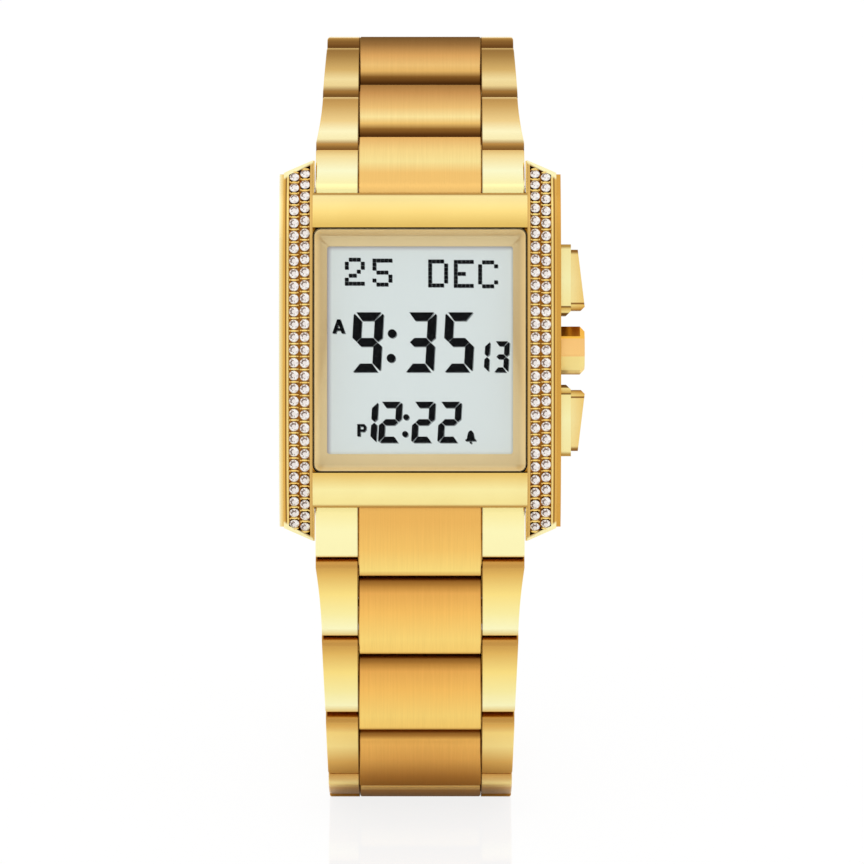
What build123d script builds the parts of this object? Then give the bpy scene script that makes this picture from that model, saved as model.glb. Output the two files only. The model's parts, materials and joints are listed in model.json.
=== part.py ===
from build123d import *
from math import asin, atan2, cos, degrees, hypot, radians, sin, sqrt
import os

# Digital wristwatch with a rectangular stone-set case on a closed link bracelet.
# Millimetres. X runs across the bracelet, Y from the dial to the clasp, Z up.
# The watch stands on two flat links at the bottom of its closed bracelet loop.
# The case is drawn in its own frame, with y = 0 on the face of the crystal,
# y growing into the case and z = 0 at its middle, and is then leaned back.

# ---------------------------------------------------------------- case sizes
case_width = 32.3            # over the two side rails
case_length = 43.8           # over the lug tips
rail_width = 0.5
rail_gap = 1.65              # side rails stop this far short of the lug tips
rail_drop = 0.75             # rails lie this far under the flank face
flank_width = 3.35           # stone-set plates, inside the rails
flank_thickness = 1.2
flank_bevel = 0.35
lug_lip = 0.15               # the gap between the lugs is this much inside the plates
corner_cut = 1.5             # slanted lug ends: the outer corner is shorter by this
skin_top = -0.5              # flank face at the middle of the case
crown_share = 2.12           # radius of the flank face's long arc, over the case length
crown_angle = 8.0            # degrees, where the tighter end arcs start
end_share = 0.365            # radius of the end arcs, over the case length
back_plane = 8.0             # back face of the middle case
lug_tip_thickness = 2.1
case_half = case_width / 2
tip = case_length / 2
rail_length = case_length - 2 * rail_gap
flank_outer = case_half - rail_width
flank_inner = flank_outer - flank_width
lug_inner = flank_inner - lug_lip
crown_radius = crown_share * case_length
end_radius = end_share * case_length

# ---------------------------------------------------------------- hoods
hood_start = 0.15            # y of the hood beside the crystal
hood_end = 1.71              # y of the hood at its outer lip
hood_gap = 3.9               # from the outer lip to the lug tips
hood_run = 3.95              # from the crystal recess to the outer lip
hood_radius = 10.0
hood_reach = tip - hood_gap

# ---------------------------------------------------------------- crystal and dial
crystal_side = 0.15          # from the crystal to the flank plates
crystal_thickness = 1.5
crystal_corner = 0.8
crystal_edge = 0.15          # polished edge
gasket_wall = 0.15
gasket_below_face = 0.1
dial_thickness = 0.3
mask_side = 1.5              # dial mask beside the window
mask_end = 2.0               # dial mask above and below it
window_corner = 0.3
dial_clearance = 0.05
seat_lip_width = 0.75        # ledge under the crystal
seat_lip_thickness = 0.8
crystal_width = 2 * (flank_inner - crystal_side)
crystal_height = 2 * (hood_reach - hood_run - gasket_wall)
window_width = crystal_width - 2 * mask_side
window_height = crystal_height - 2 * mask_end
seat_depth = crystal_thickness + dial_thickness
cavity_front = seat_depth + seat_lip_thickness

# ---------------------------------------------------------------- stones
channel_inner_rim = 0.32
channel_outer_rim = 0.6
channel_depth = 0.42
channel_end = 0.5            # metal left at the ends of the channel
stone_radius = 0.55
stone_base_radius = 0.34
stone_table_radius = 0.32
stone_pavilion = 0.34
stone_crown = 0.2
stone_sides = 8
stones_per_row = 29
stone_row_insets = (0.57, 0.62)   # row middles, from the sides of the channel
stone_end_gaps = (0.87, 0.61)     # last stone's middle to the channel's end
channel_inner = flank_inner + channel_inner_rim
channel_outer = flank_outer - channel_outer_rim
stone_rows = (channel_inner + stone_row_insets[0], channel_outer - stone_row_insets[1])

# ---------------------------------------------------------------- module
cavity_side = 1.05           # the cavity is wider than the crystal by this on each side
cavity_end = 0.3             # and longer by this at each end
cavity_corner = 2.0
module_clearance = 0.1
module_side_gap = 1.3        # from the module to the cavity
module_end_gap = 0.4
module_corner = 1.5
module_wall = 0.8
module_front_gap = 0.05      # behind the ledge
module_back_gap = 0.7        # before the case back
lcd_side_inset = 0.7         # from the edge of the module
lcd_end_inset = 1.2
lcd_thickness = 1.1
backlight_side_inset = 0.7   # from the edge of the panel before it
backlight_end_inset = 1.8
backlight_thickness = 0.4
strip_end_inset = 1.2        # connector strips end this far inside the panel
strip_width = 1.0
strip_inset = 2.1            # and lie this far from the ends of the module
board_back_gap = 2.3         # from the board's front to the back of the module
board_thickness = 0.8
battery_share = 0.58         # battery radius, over half the module's height
battery_inset = 1.8
battery_thickness = 1.6
clip_width = 3.0
clip_thickness = 0.2
clip_end_inset = 1.9
chip_size = 5.0
chip_height = 0.9
chip_inset = 4.5             # chip and buzzer lie this far from the top of the module
buzzer_radius = 3.4
buzzer_thickness = 0.3
cavity_half_width = crystal_width / 2 + cavity_side
cavity_half_height = crystal_height / 2 + cavity_end
module_half_width = cavity_half_width - module_side_gap
module_half_height = cavity_half_height - module_end_gap
module_front = cavity_front + module_front_gap
module_back = back_plane - module_back_gap
lcd_width = 2 * (module_half_width - lcd_side_inset)
lcd_height = 2 * (module_half_height - lcd_end_inset)
lcd_front = seat_depth + dial_clearance
backlight_width = lcd_width - 2 * backlight_side_inset
backlight_height = lcd_height - 2 * backlight_end_inset
strip_length = lcd_width - 2 * strip_end_inset
strip_height_at = module_half_height - strip_inset
board_front = module_back - board_back_gap
battery_radius = battery_share * module_half_height
battery_at = battery_inset + battery_radius - module_half_height
clip_length = 2 * (module_half_width - clip_end_inset)
chip_at = module_half_height - chip_inset

# ---------------------------------------------------------------- case back
back_side = 2.0              # the back covers the cavity and this much on each side
back_end = 1.3
back_thickness = 1.0
back_corner = 2.2
back_edge = 0.3
back_land = 0.3              # flat of the middle case beyond the back plate
back_seal_gap = 0.3          # from the cavity to the seal
back_seal_corner = 2.3
back_seal_wall = 0.35
back_seal_depth = 0.4
screw_side_inset = 1.1       # screws, from the sides of the back
screw_end_inset = 0.9
screw_shank_radius = 0.45
screw_head_radius = 0.85
screw_head_depth = 0.45
screw_length = 2.4
screw_slot = 0.22
back_width = 2 * (cavity_half_width + back_side)
back_height = 2 * (cavity_half_height + back_end)
back_flat = back_height / 2 + back_land
back_seal_width = 2 * (cavity_half_width + back_seal_gap)
back_seal_height = 2 * (cavity_half_height + back_seal_gap)
screw_x = back_width / 2 - screw_side_inset
screw_z = back_height / 2 - screw_end_inset

# ---------------------------------------------------------------- pushers
pusher_depth_at = 4.7        # pushers lie at this depth in the case side
pusher_at = 8.05             # height of the top and bottom pushers
pusher_travel = 0.8
guard_length = 8.2
guard_thickness = 4.6
guard_height = 1.15
guard_end_bevel = 0.55
cap_length = 7.0
cap_thickness = 3.6
cap_low_height = 1.95        # over the rail, at the end away from the middle
cap_high_height = 2.75       # over the rail, at the end near the middle
cap_end_bevel = 0.45
cap_clearance = 0.08
cap_inner_height = 0.9       # inner face over the rail
stem_radius = 0.6
stem_clearance = 0.06
stem_reach = 0.4             # into the cavity
clip_ring_radius = 1.1
clip_ring_thickness = 0.3
spring_bore_radius = 1.45
spring_seat_wall = 1.0       # from the cavity to the seat of the springs
spring_radius = 1.1
spring_wire = 0.12           # wire radius
spring_turns = 4.0
seal_tube_radius = 0.18
seal_bore_depth = 0.5
button_radius = 2.8
button_facet_turn = 10.0
button_height = 2.75         # over the rail
button_chamfer = 0.54
button_recess_clearance = 0.15
button_sunk = 0.05           # inner face under the rail's
cap_low = case_half + cap_low_height
cap_high = case_half + cap_high_height
cap_inner_face = case_half + cap_inner_height
stem_end = cavity_half_width - stem_reach
spring_seat = cavity_half_width + spring_seat_wall
button_outer = case_half + button_height
button_inner_face = case_half - button_sunk

# ---------------------------------------------------------------- bracelet
link_pitch = 9.3
end_link_pitch = 6.5         # first hinge to second hinge
pivot_gap = 3.7              # end link hinges, from the lug tips
pivot_under_face = 2.09      # and this far under the flank face
link_outer = 2.0             # hinge line to the outer face
link_inner = 1.05            # hinge line to the inner face, and hinge half length
hinge_gap = 0.1
barrel_clearance = 0.2
near_round = 1.2             # soft end of each piece
far_round = 0.25             # crisp end of each piece
side_bevel = 0.15
bulge_height = 0.2           # the outer faces rise this much to their middle
outer_piece_width = 4.9      # of the end links
centre_gap = 0.05
end_side_gap = 0.15          # end links to the lugs
pin_radius = 0.5
pin_clearance = 0.05
fixing_radius = 0.4
pin_inset = 0.35             # pin ends lie under the side faces
tapers = (0.7, 1.1, 1.3)     # narrower on each side at the third hinge and on, the last one kept
flare_depth = 0.18           # the second link's side is hollow
spring_bar_radius = 0.75
spring_bar_tip_radius = 0.45
spring_bar_tip = 0.9
pivot_height = tip - pivot_gap
end_half_width = lug_inner - end_side_gap
centre_half = end_half_width - outer_piece_width
later_half_widths = [end_half_width - taper for taper in tapers]

# Directions of the links in degrees, from straight down for the lower chain
# and from straight up for the upper chain, turning towards the clasp.
lower_angles = (0.0, 3.0, 8.0, 34.0, 67.0, 90.0, 90.0, 118.0, 146.0)
upper_angles = (57.0, 59.0, 62.0, 99.0, 122.0, 145.0, 163.0, 175.0)
lean = 12.0
standing_link = 6            # the part stands on this lower link and the next

# ---------------------------------------------------------------- clasp
cover_side = 0.7             # the cover is narrower than the bracelet by this on each side
cover_wall = 1.0
cover_skin = 0.8
cover_arm_end = 3.2
cover_skin_before_hinge = 0.1
fold_from_end = 3.1          # cover hinge, short of the bracelet end
fold_height = 0.45
blade_hinge_at = 6.2
blade_hinge_height = 0.1
knuckle_radius = 0.68
fold_pin_radius = 0.35
fold_clearance = 0.05
rail_side = 2.0              # blade rails, in from the side of the cover
rail_across = 2.5
rail_low = -0.2
web_low = 0.3
web_high = 0.95
web_margin = 2.2
inner_side = 0.5             # inner blade, in from the rails
inner_low = -0.7
inner_high = 0.0
blade_side_gap = 0.1
end_arm_side = 1.2           # end arms, in from the side of the cover
end_arm_across = 1.5
end_arm_radius = 0.8
end_bar_from_pin = 1.45      # cross bar of the inner blade, short of the end pin
end_bar_width = 0.9
end_bar_low = -0.45
end_bar_high = 0.25
last_link_relief = 0.85      # extra room for the inner blade beside the last link
end_bar_radius = 0.4
cover_half_width = later_half_widths[-1] - cover_side
rail_outer = cover_half_width - rail_side
rail_inner = rail_outer - rail_across
inner_half_width = rail_inner - inner_side
end_arm_outer = cover_half_width - end_arm_side
end_arm_inner = end_arm_outer - end_arm_across

# ---------------------------------------------------------------- frame of the case
crown = radians(crown_angle)
crown_centre = skin_top + crown_radius
end_centre_z = (crown_radius - end_radius) * sin(crown)
end_centre_y = crown_centre - (crown_radius - end_radius) * cos(crown)
crown_run = crown_radius * crown
pivot_face = end_centre_y - sqrt(end_radius ** 2 - (pivot_height - end_centre_z) ** 2)
pivot_depth = pivot_face + pivot_under_face


def chain_pins(start, angles, up):
    """Hinge centres (y, z) of a chain, from the case outwards."""
    pins = [start]
    for index, angle in enumerate(angles):
        pitch = link_pitch if index else end_link_pitch
        y, z = pins[-1]
        step = radians(angle)
        pins.append((y + pitch * sin(step), z + up * pitch * cos(step)))
    return pins


def leaned(y, z):
    """A point of the case frame, turned with the leaning case."""
    turn = radians(lean)
    return (y * cos(turn) + z * sin(turn), z * cos(turn) - y * sin(turn))


# The loop is laid out about the case, then shifted so that the standing link's
# centre piece rests on z = 0 with the middle of its flat at the origin.
loose_lower = chain_pins(leaned(pivot_depth, -pivot_height), lower_angles, -1)
standing_pin = loose_lower[standing_link - 1]
shift_y = -(standing_pin[0] + (link_pitch + link_inner + link_inner + hinge_gap) / 2)
shift_z = link_outer - standing_pin[1]


def shifted(point):
    return (point[0] + shift_y, point[1] + shift_z)


case_place = Pos(0, shift_y, shift_z) * Rot(X=-lean)
lower_pins = [shifted(pin) for pin in loose_lower]
upper_pins = [shifted(pin) for pin in chain_pins(leaned(pivot_depth, pivot_height), upper_angles, 1)]
clasp_run = (lower_pins[-1][0] - upper_pins[-1][0], lower_pins[-1][1] - upper_pins[-1][1])
clasp_length = hypot(*clasp_run)
clasp_angle = degrees(atan2(clasp_run[0], clasp_run[1])) % 360


def chain_plane(pin, angle, up):
    """Frame of one link: x along the chain, y outwards, z across."""
    step = radians(angle)
    return Plane(origin=(0, pin[0], pin[1]), x_dir=(0, sin(step), up * cos(step)), z_dir=(up, 0, 0))


# ---------------------------------------------------------------- drawing helpers
def across(face, start, end):
    """Solid of a (y, z) outline between two x positions."""
    return extrude(Plane.YZ.offset(start) * face, amount=end - start, dir=(1, 0, 0))


def deep(face, front, back):
    """Solid of an (x, z) outline between two depths y."""
    return extrude(Pos(0, front, 0) * (Plane.XZ * face), amount=back - front, dir=(0, 1, 0))


def lateral(face, start, end):
    """Solid of a link-frame (x, y) outline between two z positions."""
    return extrude(Pos(0, 0, start) * face, amount=end - start, dir=(0, 0, 1))


def both_sides(solid):
    """A solid and its mirror image across the bracelet, in the link frame."""
    return [solid, mirror(solid, Plane.XY)]


def bar_x(radius, start, end, y=0.0, z=0.0):
    """Round bar along x in the case frame."""
    return Pos((start + end) / 2, y, z) * Rot(Y=90) * Cylinder(radius, end - start)


def bar_across(radius, half_length, at=0.0, height=0.0):
    """Round bar across the bracelet, in a link frame."""
    return Pos(at, height, 0) * Cylinder(radius, 2 * half_length)


def slab(width, height, corner, front, back):
    """Rounded rectangular plate in the case frame."""
    return deep(RectangleRounded(width, height, corner), front, back)


def ring(width, height, corner, wall, front, back):
    """Rounded rectangular ring whose inside is width by height."""
    outer = slab(width + 2 * wall, height + 2 * wall, corner + wall, front, back)
    return outer - slab(width, height, corner, front - 1, back + 1)


def face_of(edges):
    return make_face(Curve() + edges)


def arc_about(centre, start, end):
    """The shorter arc from start to end about a centre."""
    radius = hypot(start[0] - centre[0], start[1] - centre[1])
    half = ((start[0] + end[0]) / 2 - centre[0], (start[1] + end[1]) / 2 - centre[1])
    scale = radius / hypot(*half)
    return ThreePointArc(start, (centre[0] + half[0] * scale, centre[1] + half[1] * scale), end)


# ---------------------------------------------------------------- face of the flanks
def skin_y(z, depth=0.0):
    """Depth of the flank face, or of a surface under it, at height z."""
    z = abs(z)
    if z <= (crown_radius - depth) * sin(crown):
        return crown_centre - sqrt((crown_radius - depth) ** 2 - z ** 2)
    return end_centre_y - sqrt((end_radius - depth) ** 2 - (z - end_centre_z) ** 2)


def skin_edges(depth, reach):
    """The flank face as edges from the bottom to the top."""
    join = (crown_radius - depth) * sin(crown)
    middle = (join + reach) / 2
    stations = (-reach, -middle, -join, 0.0, join, middle, reach)
    at = [(skin_y(z, depth), z) for z in stations]
    return [ThreePointArc(*at[0:3]), ThreePointArc(*at[2:5]), ThreePointArc(*at[4:7])]


def band(shallow, deeper, reach):
    """Outline between two depths under the flank face."""
    outer = skin_edges(shallow, reach)
    inner = skin_edges(deeper, reach)
    ends = [Line((skin_y(z, shallow), z), (skin_y(z, deeper), z)) for z in (-reach, reach)]
    return face_of(outer + inner + ends)


def body_outline(depth, reach):
    """Side outline of the middle case, from under the flank face to the back."""
    lug_back = skin_y(tip) + lug_tip_thickness
    slope = (back_plane - lug_back) / (tip - back_flat)
    end_y = back_plane - slope * (reach - back_flat)
    front = skin_y(reach, depth)
    back = Polyline((front, -reach), (end_y, -reach), (back_plane, -back_flat),
                    (back_plane, back_flat), (end_y, reach), (front, reach))
    return face_of(skin_edges(depth, reach) + [back])


def plan_outline(inset=0.0):
    """Front outline of the case inside the rails, with its slanted lug ends."""
    wide = flank_outer
    long = tip - inset
    short = long - corner_cut
    return Polygon((-wide, -short), (-flank_inner, -long), (flank_inner, -long), (wide, -short),
                   (wide, short), (flank_inner, long), (-flank_inner, long), (-wide, short),
                   align=None)


def at_skin(run, depth):
    """Place on the flank face: (y, z, tilt) at a distance along it."""
    side = 1 if run >= 0 else -1
    run = abs(run)
    if run <= crown_run:
        angle = run / crown_radius
        return (crown_centre - (crown_radius - depth) * cos(angle),
                side * (crown_radius - depth) * sin(angle), side * degrees(angle))
    angle = crown + (run - crown_run) / end_radius
    return (end_centre_y - (end_radius - depth) * cos(angle),
            side * (end_centre_z + (end_radius - depth) * sin(angle)), side * degrees(angle))


# ---------------------------------------------------------------- middle case
recess_width = crystal_width + 2 * gasket_wall
recess_height = crystal_height + 2 * gasket_wall
screw_places = [(x, z) for x in (-screw_x, screw_x) for z in (-screw_z, screw_z)]
stem_heights = (pusher_at, -pusher_at, 0.0)
barrel_pocket = link_outer + barrel_clearance


def hood_outline(side):
    """Side outline of one hood, from the crystal recess to its outer lip."""
    root = recess_height / 2
    low = (hood_start, root)
    high = (hood_end, hood_reach)
    chord = hypot(high[0] - low[0], high[1] - low[1])
    rise = hood_radius - sqrt(hood_radius ** 2 - (chord / 2) ** 2)
    normal = ((high[1] - low[1]) / chord, -(high[0] - low[0]) / chord)
    middle = ((low[0] + high[0]) / 2 - rise * normal[0], (low[1] + high[1]) / 2 - rise * normal[1])
    curve = ThreePointArc((low[0], side * low[1]), (middle[0], side * middle[1]),
                          (high[0], side * high[1]))
    rest = Polyline((high[0], side * high[1]), (pivot_depth, side * high[1]),
                    (pivot_depth, side * root), (low[0], side * low[1]))
    return face_of([curve, rest])


def link_pocket(side):
    """Room between the lugs for an end link."""
    outside = case_length
    barrel = across(Pos(pivot_depth, side * pivot_height) * Circle(barrel_pocket), -lug_inner, lug_inner)
    outer = Pos(0, 0, side * (hood_reach + outside / 2)) * Box(2 * lug_inner, outside, outside)
    start = pivot_height - barrel_pocket
    behind = Pos(0, pivot_depth + outside / 2, side * (start + outside / 2))
    return [barrel, outer, behind * Box(2 * lug_inner, outside, outside)]


def make_case():
    body = across(body_outline(flank_thickness, tip), -flank_outer, flank_outer)
    body &= deep(plan_outline(), skin_top - 1, back_plane + 1)
    rail_outline = body_outline(rail_drop, rail_length / 2)
    for start, end in ((-case_half, -flank_outer), (flank_outer, case_half)):
        body += across(rail_outline, start, end)
    for side in (-1, 1):
        body += across(hood_outline(side), -flank_inner, flank_inner)
    body -= slab(recess_width, recess_height, crystal_corner + gasket_wall, skin_top - 1, seat_depth)
    body -= slab(recess_width - 2 * seat_lip_width, recess_height - 2 * seat_lip_width,
                 crystal_corner, skin_top - 1, back_plane)
    body -= slab(2 * cavity_half_width, 2 * cavity_half_height, cavity_corner,
                 cavity_front, back_plane + 1)
    for side in (-1, 1):
        for cutter in link_pocket(side):
            body -= cutter
        hole_end = lug_inner + spring_bar_tip + pin_clearance
        body -= bar_x(spring_bar_tip_radius + pin_clearance, -hole_end, hole_end,
                      pivot_depth, side * pivot_height)
    body -= ring(back_seal_width, back_seal_height, back_seal_corner, back_seal_wall,
                 back_plane - back_seal_depth, back_plane + 1)
    for x, z in screw_places:
        depth = back_plane + back_thickness - screw_length
        body -= deep(Pos(x, z) * Circle(screw_shank_radius), depth, back_plane + 1)
    for z in stem_heights:
        body -= bar_x(stem_radius + stem_clearance, cavity_half_width - 1, case_half + 1,
                      pusher_depth_at, z)
        body -= bar_x(spring_bore_radius, spring_seat, case_half + 1, pusher_depth_at, z)
        body -= bar_x(stem_radius + 2 * seal_tube_radius + stem_clearance,
                      cavity_half_width - 1, cavity_half_width + seal_bore_depth, pusher_depth_at, z)
    recess_floor = button_inner_face - pusher_travel - button_recess_clearance
    body -= bar_x(button_radius + button_recess_clearance, recess_floor, case_half + 1,
                  pusher_depth_at, 0.0)
    return body


def make_flank(side):
    """One stone-set plate with its bevelled outer edge and sunk channel."""
    plate = across(band(0.0, flank_thickness, tip), flank_inner, flank_outer)
    plate &= deep(plan_outline(), skin_top - 1, back_plane)
    outer_face = plate.faces().sort_by(Axis.X)[-1]
    front_edges = [edge for edge in outer_face.edges()
                   if abs((edge @ 0.5).Y - skin_y((edge @ 0.5).Z)) < flank_bevel / 10]
    plate = chamfer(front_edges, flank_bevel)
    channel = across(band(-1.0, channel_depth, tip), channel_inner, channel_outer)
    channel &= deep(plan_outline(channel_end), skin_top - 2, back_plane)
    plate -= channel
    return plate if side > 0 else mirror(plate, Plane.YZ)


def make_stone():
    """Round brilliant with few facets, its axis along z and its base at z = 0."""
    widths = (stone_base_radius, stone_radius, stone_table_radius)
    heights = (0.0, stone_pavilion, stone_pavilion + stone_crown)
    rims = [Pos(0, 0, height) * RegularPolygon(width, stone_sides)
            for width, height in zip(widths, heights)]
    return loft(rims[0:2], ruled=True) + loft(rims[1:3], ruled=True)


def row_span(x, end_gap):
    """Half length of a row of stones, along the flank face."""
    slant = corner_cut * (x - flank_inner) / (flank_outer - flank_inner)
    height = tip - channel_end - slant
    run = crown_run + end_radius * (asin((height - end_centre_z) / end_radius) - crown)
    return run - end_gap


def make_stones(side):
    stone = make_stone()
    stones = []
    for x, end_gap in zip(stone_rows, stone_end_gaps):
        span = row_span(x, end_gap)
        for index in range(stones_per_row):
            run = span * (2 * index / (stones_per_row - 1) - 1)
            y, z, tilt = at_skin(run, channel_depth)
            stones.append(Pos(side * x, y, z) * Rot(X=90 - tilt) * stone)
    return stones


# ---------------------------------------------------------------- crystal and module
def make_crystal():
    plate = slab(crystal_width, crystal_height, crystal_corner, 0.0, crystal_thickness)
    return chamfer(plate.faces().sort_by(Axis.Y)[0].edges(), crystal_edge)


def make_dial_frame():
    width = crystal_width - 2 * dial_clearance
    height = crystal_height - 2 * dial_clearance
    plate = slab(width, height, crystal_corner, crystal_thickness, seat_depth)
    return plate - slab(window_width, window_height, window_corner, 0.0, back_plane)


lcd_back = lcd_front + lcd_thickness
backlight_front = lcd_back + dial_clearance
backlight_back = backlight_front + backlight_thickness


def make_module_frame():
    frame = slab(2 * module_half_width, 2 * module_half_height, module_corner, module_front, module_back)
    frame -= slab(lcd_width + module_clearance, lcd_height + module_clearance, window_corner,
                  0.0, backlight_front)
    frame -= slab(backlight_width + module_clearance, backlight_height + module_clearance,
                  window_corner, 0.0, backlight_back)
    frame -= slab(2 * (module_half_width - module_wall), 2 * (module_half_height - module_wall),
                  module_corner, board_front, back_plane)
    for side in (-1, 1):
        slot = Pos(0, side * strip_height_at)
        slot *= Rectangle(strip_length + module_clearance, strip_width + module_clearance)
        frame -= deep(slot, 0.0, back_plane)
    return frame


def make_strips():
    return [deep(Pos(0, side * strip_height_at) * Rectangle(strip_length, strip_width), lcd_back, board_front)
            for side in (-1, 1)]


board_back = board_front + board_thickness
clip_front = board_back + battery_thickness


def make_board():
    width = 2 * (module_half_width - module_wall - module_clearance)
    height = 2 * (module_half_height - module_wall - module_clearance)
    board = slab(width, height, module_corner, board_front, board_back)
    chip = deep(Pos(0, chip_at) * Rectangle(chip_size, chip_size), board_back, board_back + chip_height)
    return [board, chip]


def make_battery_clip():
    """Spring strap over the battery with a foot on the board at each end."""
    strap = deep(Pos(0, battery_at) * Rectangle(clip_length, clip_width),
                 clip_front, clip_front + clip_thickness)
    for side in (-1, 1):
        foot_x = side * (clip_length - clip_thickness) / 2
        foot = Pos(foot_x, battery_at) * Rectangle(clip_thickness, clip_width)
        strap += deep(foot, board_back, clip_front + clip_thickness)
    return strap


# ---------------------------------------------------------------- case back
back_outer = back_plane + back_thickness


def make_case_back():
    plate = slab(back_width, back_height, back_corner, back_plane, back_outer)
    plate = chamfer(plate.faces().sort_by(Axis.Y)[-1].edges(), back_edge)
    for x, z in screw_places:
        plate -= deep(Pos(x, z) * Circle(screw_shank_radius), back_plane - 1, back_outer + 1)
        plate -= deep(Pos(x, z) * Circle(screw_head_radius), back_outer - screw_head_depth, back_outer + 1)
    return plate


def make_screws():
    screws = []
    for x, z in screw_places:
        screw = deep(Pos(x, z) * Circle(screw_head_radius), back_outer - screw_head_depth, back_outer)
        screw += deep(Pos(x, z) * Circle(screw_shank_radius),
                      back_outer - screw_length, back_outer - screw_head_depth)
        screw -= deep(Pos(x, z) * Rectangle(2 * screw_head_radius, screw_slot),
                      back_outer - screw_head_depth / 2, back_outer + 1)
        screws.append(screw)
    return screws


# ---------------------------------------------------------------- pushers
guard_outer = case_half + guard_height


def guard_profile(length, low, high, bevel, base):
    """Front outline (x, z) of a pusher piece whose +z end is the one away from the middle."""
    half = length / 2
    return Polygon((base, -half), (high - bevel, -half), (high, -half + bevel),
                   (low, half), (base, half), align=None)


def make_guard(side):
    """Raised block with a window in which one pusher cap slides."""
    outline = guard_profile(guard_length, guard_outer, guard_outer, guard_end_bevel, case_half)
    depth = guard_thickness / 2
    guard = deep(outline, pusher_depth_at - depth, pusher_depth_at + depth)
    window = Box(4 * guard_height, cap_thickness + 2 * cap_clearance, cap_length + 2 * cap_clearance)
    guard = Pos(0, 0, pusher_at) * (guard - Pos(guard_outer, pusher_depth_at, 0) * window)
    return guard if side > 0 else mirror(guard, Plane.XY)


def make_stem(inner_face, z):
    """Stem with its retaining ring inside the case."""
    stem = bar_x(stem_radius, stem_end, inner_face, pusher_depth_at, z)
    ring_start = cavity_half_width - stem_clearance - clip_ring_thickness
    ring_solid = bar_x(clip_ring_radius, ring_start, ring_start + clip_ring_thickness, pusher_depth_at, z)
    return stem, ring_solid - stem


def make_pusher(side):
    outline = guard_profile(cap_length, cap_low, cap_high, cap_end_bevel, cap_inner_face)
    half = cap_thickness / 2
    cap = Pos(0, 0, pusher_at) * deep(outline, pusher_depth_at - half, pusher_depth_at + half)
    if side < 0:
        cap = mirror(cap, Plane.XY)
    stem, ring_solid = make_stem(cap_inner_face, side * pusher_at)
    return [cap + stem, ring_solid]


def make_centre_button():
    corner = Rot(Z=button_facet_turn) * RegularPolygon(button_radius, 8)
    prism = Rot(Y=90) * extrude(corner, button_outer - button_inner_face)
    button = Pos(button_inner_face, pusher_depth_at, 0) * prism
    button = chamfer(button.faces().sort_by(Axis.X)[-1].edges(), button_chamfer)
    button -= bar_x(spring_bore_radius, button_inner_face - 1, cap_inner_face, pusher_depth_at, 0.0)
    stem, ring_solid = make_stem(cap_inner_face, 0.0)
    return [button + stem, ring_solid]


def make_spring(z):
    """Return spring round a stem, from its seat in the case to the cap."""
    length = cap_inner_face - spring_seat - 2 * spring_wire
    path = Helix(pitch=length / spring_turns, height=length, radius=spring_radius)
    section = Plane(origin=path @ 0, z_dir=path % 0) * Circle(spring_wire)
    coil = sweep(section, path=path)
    return Pos(spring_seat + spring_wire, pusher_depth_at, z) * (Rot(Y=90) * coil)


def make_seal(z):
    ring_solid = Torus(stem_radius + seal_tube_radius + stem_clearance / 2, seal_tube_radius)
    place = Pos(cavity_half_width + seal_bore_depth - seal_tube_radius, pusher_depth_at, z)
    return place * (Rot(Y=90) * ring_solid)


def make_spring_bar(side):
    half = lug_inner - hinge_gap
    y, z = pivot_depth, side * pivot_height
    bar = bar_x(spring_bar_radius, -half, half, y, z)
    return bar + bar_x(spring_bar_tip_radius, -lug_inner - spring_bar_tip, lug_inner + spring_bar_tip, y, z)


# ---------------------------------------------------------------- bracelet links
def barrel_start():
    """Round near end of an end link, about its spring bar."""
    meet = sqrt(link_outer ** 2 - link_inner ** 2)
    turn = (atan2(-link_inner, meet) - radians(270)) / 2
    through = (link_outer * cos(turn), link_outer * sin(turn))
    return meet, ThreePointArc((meet, -link_inner), through, (0, link_outer))


def outer_curve(near, far, bulge):
    """Outer face from near to far, highest in the middle."""
    low = link_outer - bulge
    if bulge == 0:
        return Line((near, low), (far, low))
    return ThreePointArc((near, low), ((near + far) / 2, link_outer), (far, low))


def sloping_curve(far):
    """Outer face of an end link, from the top of its barrel down to its far end."""
    return ThreePointArc((0, link_outer), (far / 2, link_outer - bulge_height / 4),
                         (far, link_outer - bulge_height))


def soften(face, near, far):
    """Soft near corner and crisp far corner of a link outline."""
    corners = face.vertices().filter_by(lambda corner: corner.Y > link_outer / 2)
    ends = corners.sort_by(Axis.X)
    if abs(ends[-1].X - far) < far_round:
        face = fillet(ends[-1], far_round)
    if near is None:
        return face
    corners = face.vertices().filter_by(lambda corner: corner.Y > link_outer / 2)
    return fillet(corners.sort_by(Axis.X)[0], near_round)


def arm_outline(pitch, is_end, bulge, relief):
    """Side outline of an outer piece: it holds the hinge pin at x = 0."""
    far = pitch - link_inner - hinge_gap - relief
    low = link_outer - (bulge_height if is_end else bulge)
    below = [Line((far, low), (far, -link_inner))]
    if is_end:
        meet, barrel = barrel_start()
        base = Line((far, -link_inner), (meet, -link_inner))
        return soften(face_of([barrel, sloping_curve(far), base] + below), None, far)
    near = -link_inner
    edges = [outer_curve(near, far, bulge), Line((far, -link_inner), (0, -link_inner)),
             arc_about((0, 0), (0, -link_inner), (near, 0)), Line((near, 0), (near, low))]
    return soften(face_of(edges + below), near, far)


def tongue_outline(pitch, is_end, bulge):
    """Side outline of a centre piece: its far end is the tongue round the next pin."""
    far = pitch + link_inner
    low = link_outer - (bulge_height if is_end else bulge)
    below = [Line((far, low), (far, 0)), arc_about((pitch, 0), (far, 0), (pitch, -link_inner))]
    if is_end:
        meet, barrel = barrel_start()
        base = Line((pitch, -link_inner), (meet, -link_inner))
        return soften(face_of([barrel, sloping_curve(far), base] + below), None, far)
    near = link_inner + hinge_gap
    edges = [outer_curve(near, far, bulge), Line((pitch, -link_inner), (near, -link_inner)),
             Line((near, -link_inner), (near, low))]
    return soften(face_of(edges + below), near, far)


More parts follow.
